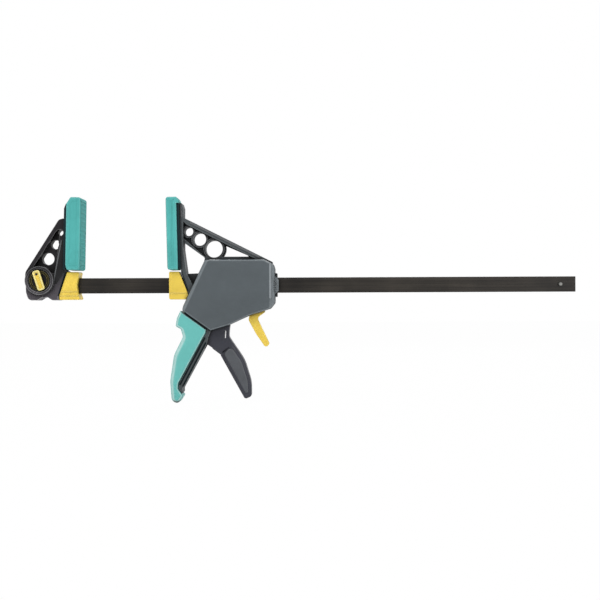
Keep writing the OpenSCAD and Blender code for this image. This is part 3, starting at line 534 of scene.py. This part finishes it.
def unitWay(a, b):
    dx, dz = b[0] - a[0], b[1] - a[1]
    size = math.hypot(dx, dz)
    return dx / size, dz / size


def squareTo(start, end):
    # the unit vector in XZ at a right angle to a run from start to end
    return Vector((end[1] - start[1], 0, start[0] - end[0])).normalized()


def insetCorners(corners, amounts):
    # corners (x, z, radius) moved inwards, by a distance for the edge after each corner
    moved = []
    for i, (x, z, r) in enumerate(corners):
        d1, d2 = amounts[i - 1], amounts[i]
        e1, e2 = unitWay(corners[i - 1], corners[i]), unitWay(corners[i], corners[(i + 1) % len(corners)])
        n1, n2 = (e1[1], -e1[0]), (e2[1], -e2[0])
        det = n1[0] * n2[1] - n1[1] * n2[0]
        shift = (d1 * n2[1] - d2 * n1[1]) / det, (d2 * n1[0] - d1 * n2[0]) / det
        convex = e1[0] * e2[1] - e1[1] * e2[0] < 0
        mean = (d1 + d2) / 2
        moved.append((x + shift[0], z + shift[1], max(r - mean, leastRadius) if convex else r + mean))
    return moved


def roundCorners(corners, steps=5):
    # the outline as points (x, z), each corner drawn as an arc of its radius
    loop = []
    for i, (x, z, r) in enumerate(corners):
        into = unitWay((x, z), corners[i - 1])
        out = unitWay((x, z), corners[(i + 1) % len(corners)])
        half = math.acos(max(-1, min(1, into[0] * out[0] + into[1] * out[1]))) / 2
        ux, uz = into[0] + out[0], into[1] + out[1]
        size = math.hypot(ux, uz)
        cx, cz = x + ux / size * r / math.sin(half), z + uz / size * r / math.sin(half)
        fx, fz = x + into[0] * r / math.tan(half) - cx, z + into[1] * r / math.tan(half) - cz
        lx, lz = x + out[0] * r / math.tan(half) - cx, z + out[1] * r / math.tan(half) - cz
        sweep = math.atan2(fx * lz - fz * lx, fx * lx + fz * lz)
        for k in range(steps + 1):
            a = sweep * k / steps
            c, s = math.cos(a), math.sin(a)
            loop.append((cx + fx * c - fz * s, cz + fx * s + fz * c))
    return loop


def leanPoint(x, z, angle, tip):
    # turns a point by an angle about the jaw's origin line at the height of the pad's tip
    a = math.radians(angle)
    dz = z - tip
    return x * math.cos(a) + dz * math.sin(a), tip - x * math.sin(a) + dz * math.cos(a)


def softRim(half, depth, width, steps=5):
    # a profile of (inset, y) from the edge round to the flat of the back
    turn = [math.pi / 2 * k / steps for k in range(steps + 1)]
    return [(width * (1 - math.cos(a)), half - depth * (1 - math.sin(a))) for a in turn]


def onSide(profile, side):
    # a profile of the back, or its mirror for the front
    return profile if side > 0 else [(d, -y) for d, y in profile[::-1]]


def bothSides(profile):
    return onSide(profile, -1) + profile


def addSlab(shape, corners, profile, shift, weights=None, lean=None):
    # a slab of an outline, its rims shaped by a profile of (inset, y), set into the part's frame
    weights = weights or [1.0] * len(corners)
    rings = []
    for amount, y in profile:
        loop = roundCorners(insetCorners(corners, [amount * w for w in weights]))
        if lean:
            loop = [leanPoint(x, z, *lean) for x, z in loop]
        rings.append([shape.verts.new(((x + shift[0]) * mm, y * mm, (z + shift[1]) * mm)) for x, z in loop])
    count = len(rings[0])
    for low, high in zip(rings, rings[1:]):
        for k in range(count):
            m = (k + 1) % count
            shape.faces.new((low[k], low[m], high[m], high[k]))
    shape.faces.new(rings[0][::-1])
    shape.faces.new(rings[-1])


def addStrip(shape, start, end, across, thick):
    # a straight strip from start to end, with its section given by two half-width vectors
    corners = [across + thick, across - thick, -across - thick, -across + thick]
    rings = [[shape.verts.new((tip + c) * mm) for c in corners] for tip in (start, end)]
    for i in range(4):
        k = (i + 1) % 4
        shape.faces.new((rings[0][i], rings[0][k], rings[1][k], rings[1][i]))
    shape.faces.new(rings[0][::-1])
    shape.faces.new(rings[1])


def addLathe(shape, centre, section, steps=48):
    # a ring turned about Y from a closed section of (radius, y)
    rows = []
    for i in range(steps):
        a = 2 * math.pi * i / steps
        rows.append([shape.verts.new(((centre[0] + r * math.cos(a)) * mm, y * mm,
                                      (centre[1] + r * math.sin(a)) * mm)) for r, y in section])
    for i in range(steps):
        a, b = rows[i], rows[(i + 1) % steps]
        for k in range(len(section)):
            m = (k + 1) % len(section)
            shape.faces.new((a[k], b[k], b[m], a[m]))


def cleanCopy(source):
    # a free mesh of a CAD node, with its triangles joined into flats
    shape = bmesh.new()
    shape.from_mesh(nodes[source].data)
    bmesh.ops.remove_doubles(shape, verts=shape.verts, dist=weldGap * mm)
    bmesh.ops.dissolve_limit(shape, angle_limit=math.radians(flatAngle), verts=shape.verts, edges=shape.edges)
    return shape


def cutThrough(shape, place, way, **options):
    # cuts all faces along a plane, given in metres
    everything = list(shape.verts) + list(shape.edges) + list(shape.faces)
    bmesh.ops.bisect_plane(shape, geom=everything, plane_co=place, plane_no=way, **options)


def roundEdges(piece, width, steps=3):
    bevel = piece.modifiers.new("softEdge", "BEVEL")
    bevel.width = width * mm
    bevel.segments = steps
    bevel.limit_method = "ANGLE"
    bevel.angle_limit = math.radians(edgeAngle)


def evenShade(piece):
    smooth = piece.modifiers.new("evenShade", "WEIGHTED_NORMAL")
    smooth.keep_sharp = True


def settle(name, shape, body, material, standsFor=(), soft=0, steps=3):
    # makes a piece of the mesh, which rides on a body and may stand for CAD nodes
    bmesh.ops.recalc_face_normals(shape, faces=shape.faces)
    mesh = bpy.data.meshes.new(name)
    shape.to_mesh(mesh)
    shape.free()
    mesh.materials.append(material)
    for face in mesh.polygons:
        face.use_smooth = True
    piece = bpy.data.objects.new(name, mesh)
    bpy.context.collection.objects.link(piece)
    if soft:
        roundEdges(piece, soft, steps)
    evenShade(piece)
    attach(piece, body)
    if standsFor:
        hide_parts(*standsFor)


# CAD pieces that keep their shape: what each wears, and how far its edges are rounded
wearing = {
    "bar": blackSteel, "stop_pin": pinSteel,
    "fixed_jaw": castPlastic, "fixed_carrier": carrierPlastic,
    "lock_shaft": brightSteel, "lock_washer": brightSteel, "lock_nut": brightSteel,
    "jaw_frame": framePlastic, "moving_carrier": carrierPlastic, "rear_guide": jawPlastic,
    "shell_screws": brightSteel, "trigger_pin": brightSteel, "drive_plates": brightSteel,
    "drive_spring": brightSteel, "release_pin": brightSteel, "release_lever": yellowPlastic,
    "brake_plate": brightSteel, "brake_spring": brightSteel,
}
softEdges = {
    "fixed_jaw": 0.7, "fixed_carrier": 0.6, "jaw_frame": 0.45, "moving_carrier": 0.6, "rear_guide": 0.4,
    "release_lever": 1.6, "lock_nut": 0.3, "lock_washer": 0.2,
}


def dressNode(name):
    piece = nodes[name]
    piece.data.materials.clear()
    piece.data.materials.append(wearing[name])
    if name in softEdges:
        weld = piece.modifiers.new("weld", "WELD")
        weld.merge_threshold = weldGap * mm
        flats = piece.modifiers.new("flats", "DECIMATE")       # joins the triangles into flats
        flats.decimate_type = "DISSOLVE"
        flats.angle_limit = math.radians(flatAngle)
        roundEdges(piece, softEdges[name])
        evenShade(piece)


for nodeName in wearing:
    dressNode(nodeName)
print("nodes dressed")

# soft jaw pads, which lean in about their tips
jawShift = {"fixed": (1.0155, -63.75), "moving": (104.0155, -63.75)}      # x and z of each jaw's own origin
padLook = {
    "foot": 19, "tip": 108.5, "lean": 1.3, "half": 18.0, "round": 2.0,
    "panelRim": 2.6, "panelSlope": 0.5, "panelSink": 0.45,
    "skin": 0.3, "margin": 5, "ribs": 15, "ribHalf": 1.0, "ribReach": 13.4, "rimHalf": 0.8, "rimReach": 14.2,
    "fixed": [(-13.2, 108.5, 2), (-0.3, 108.5, 3.2), (-0.3, 19, 2.8), (-16.25, 19, 2), (-18.25, 25, 3),
              (-18.25, 100.5, 1.5)],
    "moving": [(0.3, 108.5, 2.8), (12.25, 108.5, 2), (13.25, 106, 2), (13.25, 19, 1.5), (0.3, 19, 2.8)],
    "cap": [(8, 108.4, 1), (13.65, 108.4, 2), (16.25, 102.5, 2), (16.25, 100.6, 0.5), (8, 100.6, 0.5)],
    "capDrop": 0.2, "capRound": 1.2, "capSteps": 3,
}


def makePad(name, source, side, body):
    look = padLook
    facing = 1 if side == "fixed" else -1
    lean = (look["lean"] * facing, look["tip"])
    half, inset = look["half"], look["round"] + look["panelRim"]
    panel = [(inset, half), (inset + look["panelSlope"], half - look["panelSink"])]
    rim = softRim(half, look["round"], look["round"])
    shape = bmesh.new()
    addSlab(shape, look[side], bothSides(rim + panel), jawShift[side], lean=lean)
    if side == "moving":
        rim = softRim(half - look["capDrop"], look["capRound"], look["capRound"], look["capSteps"])
        addSlab(shape, look["cap"], bothSides(rim), jawShift[side], lean=lean)

    def onFace(y, z):
        x, z = leanPoint(-facing * look["skin"], z, *lean)
        return Vector((x + jawShift[side][0], y, z + jawShift[side][1]))

    out = Vector((look["skin"], 0, 0))
    rimHalf, reach = look["rimHalf"], look["rimReach"]
    low, high = look["foot"] + look["margin"], look["tip"] - look["margin"]
    for k in range(look["ribs"]):
        z = low + (high - low) * (k + 0.5) / look["ribs"]
        ends = onFace(-look["ribReach"], z), onFace(look["ribReach"], z)
        addStrip(shape, *ends, Vector((0, 0, look["ribHalf"])), out)
    for y in (-reach, reach):
        addStrip(shape, onFace(y, low), onFace(y, high), Vector((0, rimHalf, 0)), out)
    for z in (low - rimHalf, high + rimHalf):
        ends = onFace(-reach - rimHalf, z), onFace(reach + rimHalf, z)
        addStrip(shape, *ends, Vector((0, 0, rimHalf)), out)
    settle(name, shape, body, tealRubber, [source])


makePad("fixedPadCover", "fixed_pad", "fixed", "bar_and_fixed_jaw")
makePad("movingPadCover", "moving_pad", "moving", "moving_jaw")
print("pads made")

# soft grip on the handle, fuller on the palm side
gripLook = {
    "half": 15.5, "rimDepth": 4.5, "rimWidth": 1.0, "rimSteps": 6,
    "outline": [
        (17.4, -31.2, 0.5), (49.5, -54.3, 0.5), (48.7, -58.6, 1), (46.7, -62.2, 4), (14.9, -120.7, 8),
        (14.7, -127.1, 3), (20.6, -136, 1), (14.4, -145.8, 4.8), (6.2, -142.2, 7), (4.4, -118, 30),
        (9.2, -86, 30), (20.6, -63, 6), (17.6, -53.6, 3), (11.4, -50.4, 2.5), (12.9, -40.5, 6)],
    "weights": [1.6, 1.8, 2, 2, 2, 2, 3, 4.5, 6, 7, 7, 5, 3.5, 3.5, 3.5],      # of the rim's width, by edge
}


def makeGrip():
    look = gripLook
    rim = softRim(look["half"], look["rimDepth"], look["rimWidth"], look["rimSteps"])
    shape = bmesh.new()
    addSlab(shape, look["outline"], bothSides(rim), jawShift["moving"], look["weights"])
    settle("handleGrip", shape, "moving_jaw", gripRubber, ["soft_grip"])


makeGrip()
print("grip made")

# trigger: its web and hub, and a finger part with a raised band in a lighter copy of the trigger plastic, a
# painted highlight
triggerLook = {
    "webHalf": 7.3, "webSoft": 0.7, "fingerHalf": 10.8, "rimDepth": 4, "rimWidth": 3.6,
    "overWeb": 0.08,        # how far the finger part's outline stands over the web's
    "blendPlace": (73.9, -79.0), "blendWay": (0.671, -0.742), "blendLength": 12.0, "blendSteps": 7,
    "finger": [(67.4, -86.6, 4), (54.5, -77, 3), (60, -69.5, 4), (75, -67, 3), (79, -67.4, 3),
               (87.4, -79.4, 30), (96, -92.5, 45), (104.2, -119, 45), (104.4, -137.2, 4), (96.2, -140.6, 3)],
    "band": [(70.8, -84.6, 3.5), (79.4, -75.4, 4.5), (92.4, -93.8, 40), (100.1, -118, 40),
             (100.7, -132.4, 2), (97.2, -133.4, 2)],
    "bandRim": [(0, 9.1), (0, 10.7), (0.5, 11.25), (1.6, 11.5)],
}


def makeTriggerWeb():
    half = triggerLook["webHalf"] * mm
    shape = cleanCopy("trigger")
    for side in (-1, 1):
        cutThrough(shape, (0, side * half, 0), (0, side, 0), clear_outer=True)
        bmesh.ops.holes_fill(shape, edges=[e for e in shape.edges if e.is_boundary])
    settle("triggerWeb", shape, "pull_trigger", triggerPlastic, ["trigger"],
           triggerLook["webSoft"])


def makeTriggerFinger():
    look = triggerLook
    shift = jawShift["moving"]
    rim = softRim(look["fingerHalf"], look["rimDepth"], look["rimWidth"])
    rim = [(d - look["overWeb"], y) for d, y in rim]
    shape = bmesh.new()
    addSlab(shape, look["finger"], bothSides(rim), shift)
    x, z = look["blendPlace"]
    place = Vector((x + shift[0], 0, z + shift[1])) * mm
    way = Vector((look["blendWay"][0], 0, look["blendWay"][1]))
    length = look["blendLength"] * mm
    for k in range(look["blendSteps"] + 1):
        cutThrough(shape, place + way * length * k / look["blendSteps"], way)
    for vert in shape.verts:      # narrows to the web above the cuts, clear of the handle
        t = min(1, max(0, (vert.co - place).dot(way) / length))
        vert.co.y *= 1 - (1 - t * t * (3 - 2 * t)) * (1 - look["webHalf"] / look["fingerHalf"])
    settle("triggerFinger", shape, "pull_trigger", triggerPlastic)


def makeTriggerBand():
    shape = bmesh.new()
    for side in (-1, 1):
        addSlab(shape, triggerLook["band"], onSide(triggerLook["bandRim"], side), jawShift["moving"])
    # the band is a painted highlight down the middle of the finger part
    settle("triggerBand", shape, "pull_trigger", triggerHighlightPlastic)


makeTriggerWeb()
makeTriggerFinger()
makeTriggerBand()
print("trigger made")

# lock knob: disc, yellow rings and the bar that the fingers turn; y is counted from the knob's face
knobLook = {
    "centre": (-51.4845, -57.05), "faceY": -15.0,
    "disc": [(0.01, 1.4), (12.9, 1.4), (13.1, 0.1), (13.6, 0.1), (13.8, 0.4), (13.8, 3), (0.01, 3)],
    "discSoft": 0.15,
    "marks": (9.6, 11.6), "markHalf": 0.34, "markY": (0.4, 1.6),
    "barHalf": (4.5, 12.5), "barCorner": 2.6, "barLean": -18,
    "barRim": [(2.2, -3.2), (1.9, -3.4), (1.5, -3.95), (0.9, -4), (0.3, -3.8), (0, -3.3), (0, 1)],
    "panelRim": [(2.3, -3.35), (2.3, -3)],
    "holeAt": 8.0, "hole": [(0.01, -3.6), (1.6, -3.6), (1.6, -1), (0.01, -1)], "holeSteps": 20,
    "bossRing": [(16.5, -0.6), (16.5, -1.1), (17, -1.1), (17, -0.6)], "bossSteps": 64,
}


def fromFace(section):
    return [(r, knobLook["faceY"] + y) for r, y in section]


def makeKnob():
    look = knobLook
    centre = look["centre"]
    a = math.radians(look["barLean"])
    hole = (centre[0] + look["holeAt"] * math.sin(a), centre[1] + look["holeAt"] * math.cos(a))
    disc = bmesh.new()
    addLathe(disc, centre, fromFace(look["disc"]))
    addLathe(disc, hole, fromFace(look["hole"]), look["holeSteps"])
    settle("lockKnobDisc", disc, "jaw_lock", jawPlastic, ["lock_knob"],
           look["discSoft"], steps=2)
    halfW, halfL = look["barHalf"]
    corners = [(x * math.cos(a) + z * math.sin(a), z * math.cos(a) - x * math.sin(a), look["barCorner"])
               for x, z in ((-halfW, halfL), (halfW, halfL), (halfW, -halfL), (-halfW, -halfL))]
    # the bar's rim in a lighter yellow is a painted highlight; the panel inside it wears the plain yellow
    grip = bmesh.new()
    addSlab(grip, corners, fromFace(look["barRim"]), centre)
    settle("lockKnobGrip", grip, "jaw_lock", highlightYellow, ["lock_grip"])
    panel = bmesh.new()
    addSlab(panel, corners, fromFace(look["panelRim"]), centre)
    settle("lockKnobPanel", panel, "jaw_lock", yellowPlastic)
    # the rings in a shaded yellow: painted shade
    marks = bmesh.new()
    near, far = look["markY"]
    for r in look["marks"]:
        inner, outer = r - look["markHalf"], r + look["markHalf"]
        addLathe(marks, centre, fromFace([(inner, far), (inner, near), (outer, near), (outer, far)]))
    settle("lockKnobMarks", marks, "jaw_lock", shadedYellow)
    # a lighter ring round the knob's boss: a painted highlight
    ring = bmesh.new()
    addLathe(ring, centre, fromFace(look["bossRing"]), look["bossSteps"])
    settle("bossRing", ring, "bar_and_fixed_jaw", highlightPlastic)


makeKnob()
print("knob made")

# yellow shoes on the bar, with their moulded ledges
shoeLook = {
    "fixed": {"source": "fixed_shoe", "body": "bar_and_fixed_jaw", "nearJaw": -14, "off": 1,
              "ledges": [(-26.1, -4.8, -70.9), (-27.6, -4.1, -76.2)]},
    "moving": {"source": "moving_shoe", "body": "moving_jaw", "nearJaw": 116, "off": -1,
               "ledges": [(108.0, 129.8, -73.4)]},
    "half": 11.0, "ledgeReach": 0.55, "ledgeHalf": 0.6, "gap": 0.9, "soft": 0.7,
}


def makeShoe(name, side):
    look = shoeLook[side]
    shape = cleanCopy(look["source"])
    for vert in shape.verts:      # draws the side next to the jaw off it by a narrow gap
        if (look["nearJaw"] * mm - vert.co.x) * look["off"] > 0:
            vert.co.x += look["off"] * shoeLook["gap"] * mm
    for x0, x1, z in look["ledges"]:
        for y in (-shoeLook["half"], shoeLook["half"]):
            addStrip(shape, Vector((x0, y, z)), Vector((x1, y, z)), Vector((0, shoeLook["ledgeReach"], 0)),
                     Vector((0, 0, shoeLook["ledgeHalf"])))
    settle(name, shape, look["body"], yellowPlastic, [look["source"]], shoeLook["soft"])


makeShoe("fixedShoeCover", "fixed")
makeShoe("movingShoeCover", "moving")
print("shoes made")

# body shells, whose skin falls away along the front flank and at the rear
shellLook = {
    "flankStart": (21.0, -25.0), "flankEnd": (48.0, 31.7), "flankWidth": 5.6, "flankFall": 0.42,
    "rearAt": 126.2, "rearFall": 0.3, "skinFrom": 15.0, "soft": 0.5,
    "beadX": 128.2, "beadTop": 26.5, "beadFoot": -16.5, "beadHalf": 1.4, "beadY": 18.3, "beadRise": 0.5,
    "beadSoft": 0.35,
}


def slopeSkin(shape, place, inward, fall):
    # lowers the outer skin beyond a line, ever more with the distance from it
    cutThrough(shape, place, inward)
    for vert in shape.verts:
        out = (place - vert.co).dot(inward)
        if out > 0 and abs(vert.co.y) > shellLook["skinFrom"] * mm:
            vert.co.y -= math.copysign(fall * out, vert.co.y)


def makeShells():
    look = shellLook
    dx, dz = jawShift["moving"]
    x, z = look["flankStart"]
    inward = squareTo(look["flankStart"], look["flankEnd"])
    flank = (Vector((x + dx, 0, z + dz)) + inward * look["flankWidth"]) * mm
    rear = Vector((look["rearAt"] + dx, 0, 0)) * mm
    for source, name in (("front_shell", "frontShellCover"), ("back_shell", "backShellCover")):
        shape = cleanCopy(source)
        slopeSkin(shape, flank, inward, look["flankFall"])
        slopeSkin(shape, rear, Vector((-1, 0, 0)), look["rearFall"])
        settle(name, shape, "moving_jaw", greyPlastic, [source], look["soft"])
    # a bead in a lighter grey along the edge of the rear slope: a painted highlight
    bead = bmesh.new()
    for y in (-look["beadY"], look["beadY"]):
        ends = [Vector((look["beadX"] + dx, y, z + dz)) for z in (look["beadTop"], look["beadFoot"])]
        addStrip(bead, *ends, Vector((look["beadHalf"], 0, 0)), Vector((0, look["beadRise"], 0)))
    settle("shellHighlightBead", bead, "moving_jaw", shellHighlightPlastic, soft=look["beadSoft"])


makeShells()
print("shells made")

# painted shade and highlight on the fixed jaw beside its pad: a dark sheet where the jaw lies in shade, and a
# rib in a lighter plastic as a painted highlight
jawShadeLook = {
    "outline": [(-23.2, -4.9, 1), (-20.6, -4.9, 1), (-20.6, -34.4, 3), (-21.4, -47.9, 3), (-30.2, -61.4, 2),
                (-33.8, -61.4, 1), (-30.9, -41.7, 8), (-27.8, -24.5, 8)],
    "rim": [(0, 11.4), (0, 12.12)],
    "ribStart": (-24.4, -7.5), "ribEnd": (-35.4, -63.5), "ribHalf": 0.75, "ribRise": 0.4, "ribSoft": 0.3,
}


def makeJawShadeAndRib():
    look = jawShadeLook
    shadeSheet = bmesh.new()
    highlightRib = bmesh.new()
    (x0, z0), (x1, z1) = look["ribStart"], look["ribEnd"]
    across = squareTo(look["ribStart"], look["ribEnd"]) * look["ribHalf"]
    for side in (-1, 1):
        addSlab(shadeSheet, look["outline"], onSide(look["rim"], side), (0, 0))
        y = side * look["rim"][-1][1]
        addStrip(highlightRib, Vector((x0, y, z0)), Vector((x1, y, z1)), across, Vector((0, look["ribRise"], 0)))
    # the dark sheet is painted shade, the lighter rib a painted highlight
    settle("jawShadeSheet", shadeSheet, "bar_and_fixed_jaw", jawPlastic)
    settle("jawHighlightRib", highlightRib, "bar_and_fixed_jaw", highlightPlastic, soft=look["ribSoft"])


makeJawShadeAndRib()
print("inlay made")

# painted shadow lines beside the shoes and down the handle's spine, dark strips where the joints lie in
# shade: start, end, y and half width
shadowLineLook = {
    "fixed": {"body": "bar_and_fixed_jaw", "runs": [((-19.8, -47), (-29.0, -76), 12, 0.55)]},
    "moving": {"body": "moving_jaw",
               "runs": [((122.9, -46), (131.4, -71), 12, 0.5), ((151.6, -128), (120.6, -186), 13.5, 1.0),
                        ((152.8, -134), (124.2, -188), 13.5, 1.0)]},
    "rise": 0.15,
}


def makeShadowLines(name, side):
    look = shadowLineLook[side]
    shape = bmesh.new()
    for start, end, half, width in look["runs"]:
        for y in (-half, half):
            addStrip(shape, Vector((start[0], y, start[1])), Vector((end[0], y, end[1])),
                     squareTo(start, end) * width, Vector((0, shadowLineLook["rise"], 0)))
    settle(name, shape, look["body"], jointShadowPlastic)


makeShadowLines("fixedJawShadowLines", "fixed")
makeShadowLines("movingJawShadowLines", "moving")
print("seams made")

# raised bead and rings on the lattice arm, and a strip up the column beside the pad: the bead and strip in a
# lighter plastic are painted highlights, the near-black rings round the holes painted shade
armLook = {
    "chordStart": (26.1, 81.2), "chordEnd": (131.0, 28.4), "chordDepth": 5.9, "half": 12.0,
    "beadFrom": 4.7, "beadTo": 101.0, "beadDrop": 1.9, "beadHalf": 1.2, "beadRise": 0.6,
    "stripX": 18.4, "stripZ": (84.0, 99.5), "stripHalf": 0.8, "stripRise": 0.4, "railSoft": 0.35,
    "holes": [(27.8, 5.4), (41.2, 7.9), (58.8, 10.6)], "holeRim": 1.2,      # x and radius
    "ringIn": 0.25, "ringOut": 2.1, "ringY": (7.5, 8.7), "ringSteps": 64, "ringSoft": 0.3,
}


def makeArmHighlights():
    look = armLook
    dx, dz = jawShift["moving"]
    (x0, z0), (x1, z1) = look["chordStart"], look["chordEnd"]
    along = Vector((x1 - x0, 0, z1 - z0)).normalized()
    down = Vector((along.z, 0, -along.x))
    lean = math.tan(math.radians(padLook["lean"]))
    shape = bmesh.new()
    for y in (-look["half"], look["half"]):
        line = Vector((x0 + dx, y, z0 + dz)) + down * look["beadDrop"]
        addStrip(shape, line + along * look["beadFrom"], line + along * look["beadTo"],
                 down * look["beadHalf"], Vector((0, look["beadRise"], 0)))
        x = look["stripX"] + dx
        ends = [Vector((x + (padLook["tip"] - z) * lean, y, z + dz)) for z in look["stripZ"]]
        addStrip(shape, *ends, Vector((look["stripHalf"], 0, 0)), Vector((0, look["stripRise"], 0)))
    settle("armHighlightRails", shape, "moving_jaw", highlightPlastic, soft=look["railSoft"])


def makeArmShadeRings():
    look = armLook
    dx, dz = jawShift["moving"]
    (x0, z0), (x1, z1) = look["chordStart"], look["chordEnd"]
    slope = (z1 - z0) / (x1 - x0)
    shape = bmesh.new()
    for x, r in look["holes"]:
        below = (look["chordDepth"] + look["holeRim"] + r) * math.hypot(1, slope)
        centre = (x + dx, z0 + (x - x0) * slope - below + dz)
        inner, outer = r + look["ringIn"], r + look["ringOut"]
        for side in (-1, 1):
            near, far = (side * y for y in look["ringY"])
            section = [(inner, near), (inner, far), (outer, far), (outer, near)]
            addLathe(shape, centre, section, look["ringSteps"])
    # near-black rings: painted shade round the holes
    settle("armShadeRings", shape, "moving_jaw", jawPlastic, soft=look["ringSoft"], steps=2)


makeArmHighlights()
makeArmShadeRings()
print("arm trimmed")

# ribs round the shells' collar, in two rows one behind the other
collarLook = {
    "ribs": 7, "step": 2.4, "middle": -63.75, "ribRise": 0.45, "ribHalf": 0.5, "soft": 0.3,
    "rows": [(237.4, 241.4, 16.0), (233.4, 237.4, 17.0)],       # x from and to, and the half width there
}


def makeCollarRibs():
    look = collarLook
    shape = bmesh.new()
    for i in range(look["ribs"]):
        z = look["middle"] + (i - (look["ribs"] - 1) / 2) * look["step"]
        for side in (-1, 1):
            for x0, x1, half in look["rows"]:
                addStrip(shape, Vector((x0, side * half, z)), Vector((x1, side * half, z)),
                         Vector((0, look["ribRise"], 0)), Vector((0, 0, look["ribHalf"])))
    settle("collarRibs", shape, "moving_jaw", greyPlastic, soft=look["soft"])


makeCollarRibs()
print("collar ribs made")
